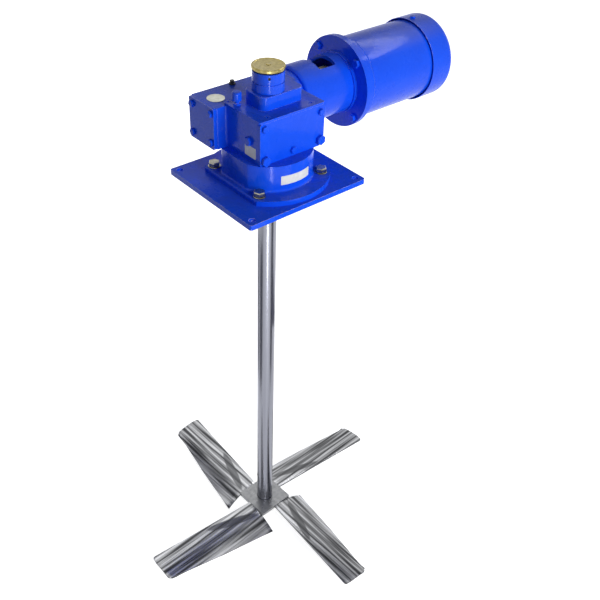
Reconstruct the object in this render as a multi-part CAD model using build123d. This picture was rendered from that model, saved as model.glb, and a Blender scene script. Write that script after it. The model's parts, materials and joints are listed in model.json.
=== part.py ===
from build123d import *
import os
from math import asin, cos, degrees, pi, radians, sin, sqrt, tan

# Top-entry tank mixer with a right-angle worm drive.
# Millimetres. Z is the mixing shaft, X is the motor shaft, and the origin is where
# the mixing shaft passes through the underside of the mounting plate.

# Clearances
SEAT = 0.1
RUN = 0.4
LIFT = 0.5
BACKLASH = 0.5
PAST = 1.0

# Mounting plate
PLATE_X = 254.0
PLATE_Y = 234.0
PLATE_T = 9.5
PLATE_CORNER = 5.0
PLATE_HOLE_R = 6.0
PLATE_HOLE_INSET = 13.0

# Mixing shaft and its drive quill
SHAFT_R = 17.5
SHAFT_BOTTOM = -885.0
SHAFT_CHAMFER = 1.5
QUILL_R = 23.0
QUILL_TOP = 186.0

# Pedestal
PEDESTAL_H = 57.0
PEDESTAL_R = 79.5
PEDESTAL_WALL = 8.0
PEDESTAL_FLAT = 72.0
FOOT_R = 110.0
FOOT_T = 9.5
FOOT_FLAT = 82.0
FOOT_BOLT_X = 68.0
FOOT_BOLT_Y = 64.0
BOLT_R = 6.0
BOLT_HEX = 18.0
BOLT_HEAD = 8.0
WASHER_R = 11.0
WASHER_T = 2.0

# Gear case
CASE_LEFT = 60.0
CASE_RIGHT = 78.0
CASE_FRONT = 49.5
CASE_BACK = 107.0
CASE_H = 75.0
CASE_WALL = 7.0
CASE_FRONT_WALL = 11.0
CASE_BACK_IN = 42.0
CASE_CORNER = 5.0
WING_LEFT = 80.0
WING_FRONT = 36.0
COVER_T = 6.0
TOP_COVER_T = 4.0
BOSS_H = 23.0
BOSS_HALF_Y = 28.0
BOSS_LEFT = 32.0
BOSS_RIGHT = 56.0
BOSS_CORNER = 14.0
BOSS_CHAMFER = 1.0
SMALL_HEX = 11.0
SMALL_HEAD = 4.5
SMALL_R = 3.5
PLUG_HEX = 16.0
PLUG_HEAD = 7.0

# Worm pair
MODULE = 2.5
TEETH = 36
STARTS = 2
PRESSURE = 20.0
WORM_R = 26.0
WORM_L = 34.0
WHEEL_W = 18.0
WHEEL_MAX_R = 48.5
AXIS_Z = 100.0

# Quill bearings
QUILL_RACE_R = 34.0
QUILL_RACE_T = 14.0
HUB_WALL = 6.0
RACE_WALL = 3.6

# Worm shaft and its bearings
WORM_SHAFT_R = 12.5
WORM_RACE_R = 29.0
WORM_RACE_T = 15.0

# Adapter between gear case and motor
ADAPTER_R = 56.0
ADAPTER_WALL = 7.0
ADAPTER_L = 141.0
ADAPTER_END = 8.0
ADAPTER_BASE = 105.0
ADAPTER_BASE_CORNER = 16.0
NECK_R = 49.5
NECK_WALL = 6.5
NECK_L = 26.0
ADAPTER_SHOULDER = 6.0
FLANGE_R = 85.5
FLANGE_T = 12.0
MOTOR_BOLT_CIRCLE = 74.6
MOTOR_BOLT_R = 4.7
MOTOR_BOLT_HEX = 14.3
MOTOR_BOLT_HEAD = 6.0
WINDOW_L = 40.0
WINDOW_NEAR = 27.0
WINDOW_FAR = 44.0
WINDOW_RISE = 2.0
LIP = 2.5

# Motor
BELL_R = 81.0
BELL_T = 18.0
BELL_TAPER = 8.0
BELL_FACE_T = 8.0
BELL_SPIGOT = 5.0
FRAME_R = 76.0
FRAME_WALL = 3.0
FRAME_L = 158.0
STATOR_BORE = 47.0
CORE_BACK = 6.0
SLOTS = 24
AIR_GAP = 0.5
MOTOR_SHAFT_R = 7.9
MOTOR_RACE_R = 20.0
MOTOR_RACE_T = 12.0
RACE_BACK = 4.0
FAN_COVER_L = 60.0
FAN_COVER_WALL = 1.6
FAN_COVER_ROUND = 16.0
FAN_COVER_LAP = 6.0
FAN_COVER_OUT = 4.5
LUG_W = 14.0
LUG_T = 12.0
COVER_SCREW_R = 2.5
COVER_SCREW_HEX = 9.0
COVER_SCREW_HEAD = 3.5
VENTS = 18
VENT_MIDDLE = 44.0
VENT_L = 34.0
VENT_W = 6.0
FAN_BLADES = 7

# Conduit box
BOX_X = 70.0
BOX_Y = 38.0
BOX_Z = 66.0
BOX_WALL = 2.5
BOX_ENTRY_R = 11.0
BOX_SUNK = 4.0
BOX_BACK_T = 8.0
BOX_SADDLE = 16.0
BOX_CORNER = 4.0
BOX_WIRE_R = 8.0
BOX_ROOM = 20.0
BOX_POST_R = 4.0
BOX_SCREW_R = 1.8
BOX_SCREW_IN = 6.0
BOX_SCREW_L = 12.0
BOX_SCREW_HEAD_R = 3.4
BOX_SCREW_HEAD = 2.0
BOX_COVER_T = 3.0

# Jaw coupling
JAW_R = 34.0
JAW_L = 20.0
JAW_DEPTH = 12.0
JAW_COUNT = 3

# Collar and cap
COLLAR_R = 27.2
COLLAR_H = 33.5
CAP_R = 28.4
CAP_H = 8.5
SET_SCREW_R = 2.4

# Impeller
HUB_Z = -866.0
HUB_HALF = 42.0
HUB_T = 8.0
HUB_TURN = 3.0
SLEEVE_R = 27.0
SLEEVE_H = 26.0
BLADE_T = 3.4
BLADE_TIP = 303.0
ROOT_LEAD = -6.0
TIP_LEAD = -31.0
BLADES = 4

# Heights and places worked out from the sizes above
DECK = PLATE_T
CASE_Z = DECK + PEDESTAL_H
CASE_TOP = CASE_Z + CASE_H
LID_TOP = CASE_TOP + TOP_COVER_T
BOSS_TOP = LID_TOP + BOSS_H
WHEEL_R = MODULE * TEETH / 2
AXIS_Y = WHEEL_R + WORM_R
ADAPTER_X = CASE_RIGHT
FLANGE_X = ADAPTER_X + ADAPTER_L
MOTOR_X = FLANGE_X + FLANGE_T
FRAME_X = MOTOR_X + BELL_T
FRAME_END = FRAME_X + FRAME_L
FAN_COVER_X = FRAME_END - FAN_COVER_LAP
FAN_COVER_END = FAN_COVER_X + FAN_COVER_L
FAN_COVER_R = FRAME_R + FAN_COVER_OUT
COLLAR_Z = BOSS_TOP + LIFT
COLLAR_TOP = COLLAR_Z + COLLAR_H
CASE_FLOOR = CASE_Z + CASE_WALL + 1.0

# Openings and screws of the plate and the pedestal
PLATE_BORE = QUILL_R + 8.0
PEDESTAL_TOP_T = 8.0
PEDESTAL_BORE = QUILL_R + 8.0
PEDESTAL_SCREW = 41.0
PEDESTAL_SCREW_R = 4.0
PEDESTAL_SCREW_HEX = 13.0
PEDESTAL_SCREW_HEAD = 5.5
PEDESTAL_FILLET = 4.0

# Small steps of screw heads and rollers
HEX_EDGE = 0.2
HEX_CROWN = 0.6
ROLLER_IN = 2.0
ON_BASE = (Align.CENTER, Align.CENTER, Align.MIN)

# Seals, bearings, screws and plugs of the gear case
SEAL_T = 6.0
SEAL_IN = 0.5
QUILL_ROLLERS = 14
WORM_ROLLERS = 11
MOTOR_ROLLERS = 8
SEAL_R = 30.0
TOP_SEAL_R = 26.0
TOP_SEAL_T = 5.0
LOWER_RACE_Z = CASE_Z + SEAL_T
UPPER_RACE_Z = CASE_TOP - 2.0 - QUILL_RACE_T
HUB_R = QUILL_RACE_R + HUB_WALL
WORM_BORE = WORM_R + MODULE + 1.5
WHEEL_SPACE = 4.0
WHEEL_GAP = 1.2
COVER_REACH = 44.0
FRONT_RIM = 18.0
POST_R = 7.6
POST_L = 9.0
SCREW_IN = 9.0
TOP_SCREW_IN = 6.5
TOP_SCREW_FRONT = 4.5
TOP_SCREW_L = 7.0
TOP_SCREW_SHIFT = 16.0
FLAT_HEAD_R = 5.9
FLAT_HEAD = FLAT_HEAD_R - SMALL_R
SOCKET_R = 2.3
SOCKET_DEPTH = 1.6
FRONT_Y = -CASE_FRONT - COVER_T
END_X = -WING_LEFT - COVER_T
END_BOLT = 26.0
SPIGOT_WALL = 5.0
EAR_CUT = 9.0
WORM_RACE_X = 50.0
SIDE_PLUG_Y = -26.0
SIDE_PLUG_Z = CASE_Z + 36.0
LEVEL_PLUG_X = 10.0
LEVEL_PLUG_Z = CASE_Z + 11.0
PLUG_R = 5.0
BREATHER_X = -48.0
BREATHER_Y = 22.0
BREATHER_NECK = 3.6
BREATHER_NUT = 6.8
BREATHER_CAP = 8.0
BREATHER_RISE = 8.0
BREATHER_H = 15.0
BREATHER_ROUND = 3.0
VENT_X = 0.0
VENT_Y = 100.0
VENT_R = 4.0
VENT_H = 7.0
VENT_RIM_R = 6.0
VENT_RIM_T = 2.0
DISC_X = -57.0
DISC_Y = 69.0
DISC_R = 15.5
DISC_T = 0.8

# Steps of the worm shaft
WORM_ROOT = WORM_R - 1.2 * MODULE
WORM_TIP = WORM_R + MODULE
LEAD = STARTS * pi * MODULE
WORM_SHAFT_LEFT = -WORM_RACE_X - WORM_RACE_T - 3.0
WORM_SHAFT_STEP = 6.0
THREAD_SINK = 0.4
COUPLING_X = ADAPTER_X + ADAPTER_L * 2 / 3
NOSE_R = 9.5
SHOULDER_R = 16.0
MOTOR_NOSE = 50.0

# Teeth of the worm wheel
WHEEL_TIP = WHEEL_R + MODULE
GAP_LEVELS = 5
TIP_GAP = 0.5

# Keys of the quill and screws of the collar
KEY_W = 8.0
KEY_RISE = 3.3
KEY_SINK = 3.0
SHAFT_KEY_SINK = 4.0
SHAFT_KEY_Z = AXIS_Z + 32.0
SHAFT_KEY_L = 48.0
QUILL_BOTTOM = CASE_Z - 4.0
SET_SCREW_Z = COLLAR_Z + 27.5
SET_SCREW_TURN = 55.0
SET_SCREWS = 4
SET_SCREW_IN = 1.5
SET_SOCKET_R = 1.3
SET_SOCKET_DEPTH = 2.0
GROOVE_Z = COLLAR_Z + 15.0
GROOVE_DEPTH = 1.2
GROOVE_W = 1.6
CAP_FOOT_IN = 3.5
CAP_FOOT_RISE = 3.0
CAP_EDGE = 1.2
CAP_RIM = 4.0
CAP_DISH = 0.8
CAP_SQUARE = 6.0

# Screws of the adapter
ADAPTER_SCREW = 25.0
LIP_L = 6.0
JAW_HALF_TURN = 21.0
JAW_INNER = 11.3
SPIDER_BORE = 10.0

# Places inside the motor and of its conduit box
MOTOR_SHAFT_START = MOTOR_X - MOTOR_NOSE
COIL_REACH = 20.0
COIL_ROOM = 19.0
STATOR_L = FRAME_L - 2 * (COIL_REACH + COIL_ROOM)
STATOR_X = FRAME_X + FRAME_L / 2 - STATOR_L / 2
BELL_POCKET_R = MOTOR_BOLT_CIRCLE - MOTOR_BOLT_HEX / 2 - HUB_WALL
SLOT_W = 6.0
SLOT_DEPTH = FRAME_R - FRAME_WALL - CORE_BACK - STATOR_BORE
COIL_IN = 2.0
COIL_CHAMFER = 3.0
ROTOR_STEP = 5.0
END_RING_IN = 2.0
END_RING_W = 12.0
END_RING_L = 9.0
FAN_HUB_R = 14.0
FAN_HUB_L = 16.0
FAN_T = 2.0
FAN_BLADE_H = 18.0
REAR_BELL_X = FRAME_END - BELL_T
REAR_RACE_X = FRAME_END - MOTOR_RACE_T - RACE_BACK
FRONT_RACE_X = MOTOR_X + 5.0
LUG_END = FRAME_END + LUG_W
FAN_X = LUG_END + 2 * PAST
FAN_R = FAN_COVER_R - 20.0
MOTOR_SHAFT_END = FAN_X + FAN_HUB_L
BOX_MIDDLE_X = FRAME_X + FRAME_L / 2
BOX_MIDDLE_Z = AXIS_Z - 16.0
BOX_FACE_Y = AXIS_Y + FRAME_R - BOX_SUNK

# Blade folds, from hub to tip
CREASE_SPAN = 0.48


def ring(outer, inner, z0, z1):
    """A tube about Z between two heights."""
    body = Pos(0, 0, z0) * Cylinder(outer, z1 - z0, align=ON_BASE)
    if inner > 0:
        body -= Pos(0, 0, z0) * Cylinder(inner, z1 - z0, align=ON_BASE)
    return body


def slab(x0, x1, y0, y1, z0, z1):
    """A block between six planes."""
    corner = Pos(x0, y0, z0)
    return corner * Box(x1 - x0, y1 - y0, z1 - z0, align=(Align.MIN, Align.MIN, Align.MIN))


def on_motor_axis(body):
    """Turns a piece made about Z so that it lies along the motor axis."""
    return Pos(0, AXIS_Y, AXIS_Z) * Rot(0, 90, 0) * body


def hex_screw(across, head, radius, length):
    """A hex head standing on Z = 0 with its shank below."""
    body = extrude(RegularPolygon(across / 2, 6, major_radius=False), head)
    crown = Cone(across / 2 + 2 * head, across / 2 - HEX_EDGE, 2 * head + HEX_CROWN, align=ON_BASE)
    return (body & Pos(0, 0, -head) * crown) + ring(radius, 0, -length, 0)


def roller_ring(inner, outer, z0, z1, count):
    """An inner race with its rollers, which stand clear of the outer race."""
    race = ring(inner + RACE_WALL, inner + SEAT, z0, z1)
    reach = outer - RACE_WALL - RUN
    radius = (reach - inner - RACE_WALL) / 2
    place = inner + RACE_WALL + radius - SEAT / 4
    roller = Pos(place, 0, 0) * ring(radius, 0, z0 + ROLLER_IN, z1 - ROLLER_IN)
    rollers = [Rot(0, 0, i * 360 / count) * roller for i in range(count)]
    return race + rollers


def outer_ring(outer, z0, z1):
    """The outer race of a roller bearing."""
    return ring(outer, outer - RACE_WALL, z0, z1)


def rounded_slab(x0, x1, y0, y1, z0, z1, corner):
    """A block with its four upright edges rounded."""
    outline = RectangleRounded(x1 - x0, y1 - y0, corner)
    return Pos((x0 + x1) / 2, (y0 + y1) / 2, z0) * extrude(outline, z1 - z0)


def d_outline(radius, flat):
    """A circle with a flat on its left side."""
    return Circle(radius) - Pos(-flat - radius, 0) * Rectangle(2 * radius, 2 * radius)


def foot_places():
    return [(sx * FOOT_BOLT_X, sy * FOOT_BOLT_Y) for sx in (-1, 1) for sy in (-1, 1)]


def plate_places():
    half_x = PLATE_X / 2 - PLATE_HOLE_INSET
    half_y = PLATE_Y / 2 - PLATE_HOLE_INSET
    return [(sx * half_x, sy * half_y) for sx in (-1, 1) for sy in (-1, 1)]


# Mounting plate and pedestal


def mounting_plate():
    body = extrude(RectangleRounded(PLATE_X, PLATE_Y, PLATE_CORNER), PLATE_T)
    body -= ring(PLATE_BORE, 0, -1, PLATE_T + 1)
    for x, y in plate_places():
        body -= Pos(x, y, 0) * ring(PLATE_HOLE_R, 0, -1, PLATE_T + 1)
    for x, y in foot_places():
        body -= Pos(x, y, 0) * ring(BOLT_R + SEAT, 0, -1, PLATE_T + 1)
    return body


def pedestal():
    foot = Pos(0, 0, DECK) * extrude(d_outline(FOOT_R, FOOT_FLAT), FOOT_T)
    barrel = Pos(0, 0, DECK) * extrude(d_outline(PEDESTAL_R, PEDESTAL_FLAT), PEDESTAL_H)
    body = foot + barrel
    root = DECK + FOOT_T
    level = [e for e in body.edges() if abs(e.center().Z - root) < SEAT]
    seam = [e for e in level if e.bounding_box().max.X < FOOT_R - PEDESTAL_FILLET]
    body = fillet(seam, PEDESTAL_FILLET)
    inside = d_outline(PEDESTAL_R - PEDESTAL_WALL, PEDESTAL_FLAT - PEDESTAL_WALL)
    body -= Pos(0, 0, DECK - 1) * extrude(inside, PEDESTAL_H - PEDESTAL_TOP_T + 1)
    body -= ring(PEDESTAL_BORE, 0, DECK, CASE_Z + 1)
    for x, y in foot_places():
        body -= Pos(x, y, 0) * ring(BOLT_R + SEAT, 0, DECK - 1, root + 1)
        body -= Pos(x, y, 0) * ring(WASHER_R + SEAT, 0, root, root + PEDESTAL_FILLET + 1)
    for x, y in case_places():
        body -= Pos(x, y, 0) * ring(PEDESTAL_SCREW_R + SEAT, 0, DECK + 1, CASE_Z + 1)
    return body


def case_places():
    return [(sx * PEDESTAL_SCREW, sy * PEDESTAL_SCREW) for sx in (-1, 1) for sy in (-1, 1)]


def flange_bolts():
    top = DECK + FOOT_T + WASHER_T
    bolt = hex_screw(BOLT_HEX, BOLT_HEAD, BOLT_R, top - 1)
    return [Pos(x, y, top) * bolt for x, y in foot_places()]


def flange_washers():
    base = DECK + FOOT_T
    return [Pos(x, y, 0) * ring(WASHER_R, BOLT_R + SEAT, base, base + WASHER_T) for x, y in foot_places()]


def pedestal_screws():
    under = CASE_Z - PEDESTAL_TOP_T
    length = PEDESTAL_TOP_T + CASE_WALL - PAST
    screw = hex_screw(PEDESTAL_SCREW_HEX, PEDESTAL_SCREW_HEAD, PEDESTAL_SCREW_R, length)
    return [Pos(x, y, under) * Rot(180, 0, 0) * screw for x, y in case_places()]


# Gear case and its covers


def case_outline():
    """The gear case from above: the wheel chamber with the worm chamber behind it."""
    path = Polyline(
        (-CASE_LEFT, -CASE_FRONT), (CASE_RIGHT, -CASE_FRONT), (CASE_RIGHT, CASE_BACK),
        (-WING_LEFT, CASE_BACK), (-WING_LEFT, WING_FRONT), (-CASE_LEFT, WING_FRONT), close=True,
    )
    outline = make_face(path)
    step = [v for v in outline.vertices() if v.X < 0 and v.Y > 0 and v.Y < CASE_BACK]
    return fillet(step, CASE_CORNER - 1)


def front_places():
    """Where the front cover's screws go: X, Z and whether it is one of the large ones."""
    return [
        (-CASE_LEFT + SCREW_IN, CASE_TOP - SCREW_IN, False),
        (CASE_RIGHT - SCREW_IN, CASE_TOP - SCREW_IN - 3, False),
        (-CASE_LEFT + SCREW_IN + 1, CASE_Z + SCREW_IN, True),
        (CASE_RIGHT - SCREW_IN, CASE_Z + SCREW_IN + 3, True),
    ]


def end_places():
    middle = (WING_FRONT + CASE_BACK) / 2
    height = (CASE_Z + CASE_TOP) / 2
    return [(middle + sy * END_BOLT, height + sz * END_BOLT) for sy in (-1, 1) for sz in (-1, 1)]


def top_places():
    right = CASE_RIGHT - TOP_SCREW_IN
    left = -CASE_LEFT + TOP_SCREW_IN
    front = -CASE_FRONT + TOP_SCREW_FRONT
    back = COVER_REACH - TOP_SCREW_FRONT
    shift = TOP_SCREW_SHIFT
    return [(left + shift, front), (right - shift, front), (left, back), (right, back)]


def gear_case():
    block = Pos(0, 0, CASE_Z) * extrude(case_outline(), CASE_H)
    left = -CASE_LEFT + CASE_WALL
    right = CASE_RIGHT - CASE_WALL
    front = -CASE_FRONT + CASE_FRONT_WALL
    low = AXIS_Z - WHEEL_W / 2 - WHEEL_SPACE
    high = AXIS_Z + WHEEL_W / 2 + WHEEL_SPACE
    worm_room = on_motor_axis(ring(WORM_BORE, 0, -WORM_RACE_X, WORM_RACE_X))
    body = block - rounded_slab(left, right, front, CASE_BACK_IN, CASE_FLOOR, CASE_TOP + PAST, CASE_CORNER)
    body -= slab(-CASE_LEFT + FRONT_RIM, CASE_RIGHT - FRONT_RIM, -CASE_FRONT - PAST, 0,
                 CASE_Z + FRONT_RIM, CASE_TOP - FRONT_RIM)
    body -= ring(WHEEL_MAX_R + WHEEL_GAP, 0, low, high)
    body -= on_motor_axis(ring(WORM_RACE_R + SEAT, 0, -WING_LEFT - PAST, CASE_RIGHT + PAST))
    body -= worm_room
    body += ring(HUB_R, 0, CASE_FLOOR - PAST, LOWER_RACE_Z + QUILL_RACE_T) - worm_room
    body -= ring(QUILL_RACE_R + SEAT, 0, LOWER_RACE_Z, CASE_TOP + PAST)
    body -= ring(HUB_R + RUN, 0, UPPER_RACE_Z - PAST, CASE_TOP + PAST)
    body -= ring(SEAL_R + SEAT, 0, CASE_Z - PAST, LOWER_RACE_Z + PAST)
    for x, y in case_places():
        body -= Pos(x, y, 0) * ring(PEDESTAL_SCREW_R + SEAT, 0, CASE_Z - 1, CASE_Z + CASE_WALL)
    for x, z, large in front_places():
        body -= Pos(x, -CASE_FRONT, z) * Rot(90, 0, 0) * ring(SMALL_R + SEAT, 0, -SCREW_IN, 1)
    for y, z in end_places():
        body -= Pos(-WING_LEFT, y, z) * Rot(0, 90, 0) * ring(SMALL_R + SEAT, 0, -1, SCREW_IN)
    for x, y in top_places():
        body += block & (Pos(x, y, 0) * ring(POST_R, 0, CASE_TOP - POST_L, CASE_TOP))
        body -= Pos(x, y, 0) * ring(SMALL_R + SEAT, 0, CASE_TOP - TOP_SCREW_L, CASE_TOP + PAST)
    for y, z in adapter_screw_places():
        body -= Pos(CASE_RIGHT, y, z) * Rot(0, 90, 0) * ring(SMALL_R + SEAT, 0, -SCREW_IN, PAST)
    return body - side_plug_hole()


def side_plug_hole():
    place = Pos(-CASE_LEFT - PAST, SIDE_PLUG_Y, SIDE_PLUG_Z) * Rot(0, 90, 0)
    return place * ring(PLUG_R + SEAT, 0, 0, CASE_WALL + 2 * PAST)


def front_cover():
    body = slab(-CASE_LEFT, CASE_RIGHT, FRONT_Y, -CASE_FRONT, CASE_Z, CASE_TOP)
    upright = body.edges().filter_by(Axis.Y)
    body = fillet(upright.sort_by(Axis.X)[:2], CASE_CORNER - 1)
    lower = body.edges().filter_by(Axis.Y).sort_by(Axis.X)[-2:].sort_by(Axis.Z)
    body = chamfer(lower[:1], EAR_CUT)
    upper = body.edges().filter_by(Axis.Y).sort_by(Axis.X)[-3:].sort_by(Axis.Z)
    body = fillet(upper[-1:], CASE_CORNER - 1)
    for x, z, large in front_places():
        body -= Pos(x, -CASE_FRONT, z) * Rot(90, 0, 0) * ring(SMALL_R + SEAT, 0, -1, COVER_T + 1)
    place = Pos(LEVEL_PLUG_X, -CASE_FRONT, LEVEL_PLUG_Z) * Rot(90, 0, 0)
    body -= place * ring(PLUG_R + SEAT, 0, -PAST, COVER_T + PAST)
    return body


def front_cover_screws():
    screw = hex_screw(SMALL_HEX, SMALL_HEAD, SMALL_R, COVER_T + SCREW_IN - 2)
    return [Pos(x, FRONT_Y, z) * Rot(90, 0, 0) * screw for x, z, large in front_places() if not large]


def front_cover_bolts():
    screw = hex_screw(PLUG_HEX, PLUG_HEAD, SMALL_R, COVER_T + SCREW_IN - 2)
    return [Pos(x, FRONT_Y, z) * Rot(90, 0, 0) * screw for x, z, large in front_places() if large]


def oil_level_plug():
    plug = hex_screw(SMALL_HEX, SMALL_HEAD, PLUG_R, COVER_T - 1)
    return Pos(LEVEL_PLUG_X, FRONT_Y, LEVEL_PLUG_Z) * Rot(90, 0, 0) * plug


def side_plug():
    plug = hex_screw(SMALL_HEX + 3, SMALL_HEAD + 1, PLUG_R, CASE_WALL - 1)
    return Pos(-CASE_LEFT, SIDE_PLUG_Y, SIDE_PLUG_Z) * Rot(0, -90, 0) * plug


def end_cover():
    body = slab(END_X, -WING_LEFT, WING_FRONT, CASE_BACK, CASE_Z, CASE_TOP)
    body = fillet(body.edges().filter_by(Axis.X), CASE_CORNER - 1)
    deep = -WORM_RACE_X - WORM_RACE_T - SEAT
    spigot = ring(WORM_RACE_R, WORM_RACE_R - SPIGOT_WALL, -WING_LEFT - PAST, deep)
    body += on_motor_axis(spigot)
    for y, z in end_places():
        body -= Pos(-WING_LEFT, y, z) * Rot(0, 90, 0) * ring(SMALL_R + SEAT, 0, -COVER_T - 1, 1)
    return body


def end_cover_screws():
    screw = hex_screw(SMALL_HEX, SMALL_HEAD, SMALL_R, COVER_T + SCREW_IN - 2)
    return [Pos(END_X, y, z) * Rot(0, -90, 0) * screw for y, z in end_places()]


def top_cover():
    body = rounded_slab(-CASE_LEFT, CASE_RIGHT, FRONT_Y, COVER_REACH, CASE_TOP, LID_TOP, CASE_CORNER)
    boss = rounded_slab(-BOSS_LEFT, BOSS_RIGHT, -BOSS_HALF_Y, BOSS_HALF_Y, LID_TOP, BOSS_TOP, BOSS_CORNER)
    body += chamfer(boss.faces().sort_by(Axis.Z)[-1].edges(), BOSS_CHAMFER)
    body += ring(HUB_R, 0, UPPER_RACE_Z, CASE_TOP)
    inside = BOSS_HALF_Y - CASE_WALL
    pocket = rounded_slab(QUILL_R + HUB_WALL - PAST, BOSS_RIGHT - CASE_WALL, -inside, inside,
                          CASE_TOP - PAST, BOSS_TOP - CASE_WALL, CASE_CORNER)
    body -= pocket - ring(HUB_R, 0, CASE_TOP - 2 * PAST, CASE_TOP)
    body -= ring(QUILL_RACE_R + SEAT, 0, UPPER_RACE_Z - 1, UPPER_RACE_Z + QUILL_RACE_T)
    body -= ring(QUILL_R + RUN, 0, UPPER_RACE_Z, BOSS_TOP + 1)
    body -= ring(TOP_SEAL_R + SEAT, 0, BOSS_TOP - TOP_SEAL_T, BOSS_TOP + 1)
    sink = Cone(SMALL_R + SEAT, FLAT_HEAD_R + SEAT + PAST, FLAT_HEAD + PAST, align=ON_BASE)
    for x, y in top_places():
        body -= Pos(x, y, 0) * ring(SMALL_R + SEAT, 0, CASE_TOP - 1, LID_TOP + 1)
        body -= Pos(x, y, LID_TOP - FLAT_HEAD) * sink
    body -= Pos(BREATHER_X, BREATHER_Y, 0) * ring(BREATHER_NECK + SEAT, 0, CASE_TOP - 1, LID_TOP + 1)
    return body


def top_cover_screws():
    """Flat heads with a hexagon socket, flush with the cover."""
    body = Pos(0, 0, -FLAT_HEAD) * Cone(SMALL_R, FLAT_HEAD_R, FLAT_HEAD, align=ON_BASE)
    body += ring(SMALL_R, 0, -TOP_COVER_T - TOP_SCREW_L + PAST, -FLAT_HEAD)
    body -= Pos(0, 0, -SOCKET_DEPTH) * extrude(RegularPolygon(SOCKET_R, 6), SOCKET_DEPTH + PAST)
    return [Pos(x, y, LID_TOP) * body for x, y in top_places()]


def breather():
    neck = ring(BREATHER_NECK, 0, CASE_TOP + RUN, LID_TOP + BREATHER_RISE + PAST)
    nut = Pos(0, 0, LID_TOP) * extrude(RegularPolygon(BREATHER_NUT, 6), BREATHER_ROUND)
    cap = ring(BREATHER_CAP, 0, LID_TOP + BREATHER_RISE, LID_TOP + BREATHER_RISE + BREATHER_H)
    cap = fillet(cap.edges().filter_by(GeomType.CIRCLE).sort_by(Axis.Z)[-1:], BREATHER_ROUND)
    return Pos(BREATHER_X, BREATHER_Y, 0) * (neck + nut + cap)


def vent_plug():
    rim = ring(VENT_RIM_R, 0, CASE_TOP, CASE_TOP + VENT_RIM_T)
    body = rim + ring(VENT_R, 0, CASE_TOP, CASE_TOP + VENT_H)
    return Pos(VENT_X, VENT_Y, 0) * body


def data_disc():
    return Pos(DISC_X, DISC_Y, 0) * ring(DISC_R, 0, CASE_TOP, CASE_TOP + DISC_T)


def lower_seal():
    return ring(SEAL_R, QUILL_R + RUN, CASE_Z + SEAL_IN, LOWER_RACE_Z)


def upper_seal():
    return ring(TOP_SEAL_R, QUILL_R + RUN, BOSS_TOP - TOP_SEAL_T, BOSS_TOP - SEAT)


def quill_outer_races():
    lower = outer_ring(QUILL_RACE_R, LOWER_RACE_Z, LOWER_RACE_Z + QUILL_RACE_T)
    return [lower, outer_ring(QUILL_RACE_R, UPPER_RACE_Z, UPPER_RACE_Z + QUILL_RACE_T)]


def quill_rollers():
    top = LOWER_RACE_Z + QUILL_RACE_T
    lower = roller_ring(QUILL_R, QUILL_RACE_R, LOWER_RACE_Z + RUN, top, QUILL_ROLLERS)
    top = UPPER_RACE_Z + QUILL_RACE_T - RUN
    upper = roller_ring(QUILL_R, QUILL_RACE_R, UPPER_RACE_Z, top, QUILL_ROLLERS)
    return [lower, upper]


# Worm shaft


def worm_thread():
    """One thread, swept along its helix and cut square at both ends."""
    half = pi * MODULE / 4 - BACKLASH / 4
    slope = tan(radians(PRESSURE))
    foot = WORM_ROOT - THREAD_SINK
    wide = half + slope * (WORM_R - foot)
    narrow = half - slope * MODULE
    height = WORM_L + LEAD / 2
    helix = Helix(pitch=LEAD, height=height, radius=WORM_R, center=(0, 0, -height / 2))
    shape = Polyline(
        (foot, 0, -wide), (WORM_TIP, 0, -narrow), (WORM_TIP, 0, narrow), (foot, 0, wide), close=True,
    )
    profile = Pos(0, 0, -height / 2) * make_face(shape)
    in_mesh = Rot(0, 0, 270 - 180 * height / LEAD)
    return in_mesh * sweep(profile, path=helix, is_frenet=True)


def worm_shaft():
    half = WORM_L / 2
    body = ring(WORM_ROOT, 0, -half, half)
    thread = worm_thread()
    for start in range(STARTS):
        body += (Rot(0, 0, start * 360 / STARTS) * thread) & ring(WORM_TIP + PAST, 0, -half, half)
    body += ring(SHOULDER_R, 0, -WORM_RACE_X, WORM_RACE_X)
    body += ring(WORM_SHAFT_R, 0, WORM_SHAFT_LEFT, ADAPTER_X + ADAPTER_END + WORM_SHAFT_STEP)
    body += ring(NOSE_R, 0, 0, COUPLING_X - JAW_DEPTH / 2 - PAST)
    return body


def worm_outer_races():
    left = outer_ring(WORM_RACE_R, -WORM_RACE_X - WORM_RACE_T, -WORM_RACE_X - SEAT)
    right = outer_ring(WORM_RACE_R, WORM_RACE_X + SEAT, WORM_RACE_X + WORM_RACE_T)
    return [on_motor_axis(left), on_motor_axis(right)]


def worm_rollers():
    near = WORM_RACE_X + SEAT
    far = WORM_RACE_X + WORM_RACE_T - RUN
    left = roller_ring(WORM_SHAFT_R, WORM_RACE_R, -far, -near, WORM_ROLLERS)
    right = roller_ring(WORM_SHAFT_R, WORM_RACE_R, near, far, WORM_ROLLERS)
    return [on_motor_axis(left), on_motor_axis(right)]


def worm_seal():
    start = WORM_RACE_X + WORM_RACE_T + SEAL_IN
    return on_motor_axis(ring(WORM_RACE_R, WORM_SHAFT_R + RUN, start, ADAPTER_X - SEAT))


# Worm wheel


def gap_section(level):
    """The outline of one tooth gap at a height above the worm's axis."""
    reach = WORM_TIP + TIP_GAP
    root = AXIS_Y - sqrt(reach ** 2 - level ** 2)
    outer = WHEEL_MAX_R + 2 * PAST
    half = pi * MODULE / 4 + BACKLASH / 4
    slope = tan(radians(PRESSURE + degrees(half / WHEEL_R)))
    narrow = half - slope * (WHEEL_R - root)
    wide = half + slope * (outer - WHEEL_R)
    turn = degrees(LEAD * asin(level / WORM_R) / (2 * pi) / WHEEL_R)
    shape = Polyline(
        (-narrow, root, 0), (narrow, root, 0), (wide, outer, 0), (-wide, outer, 0), close=True,
    )
    return Pos(0, 0, level) * Rot(0, 0, turn) * make_face(shape)


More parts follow.
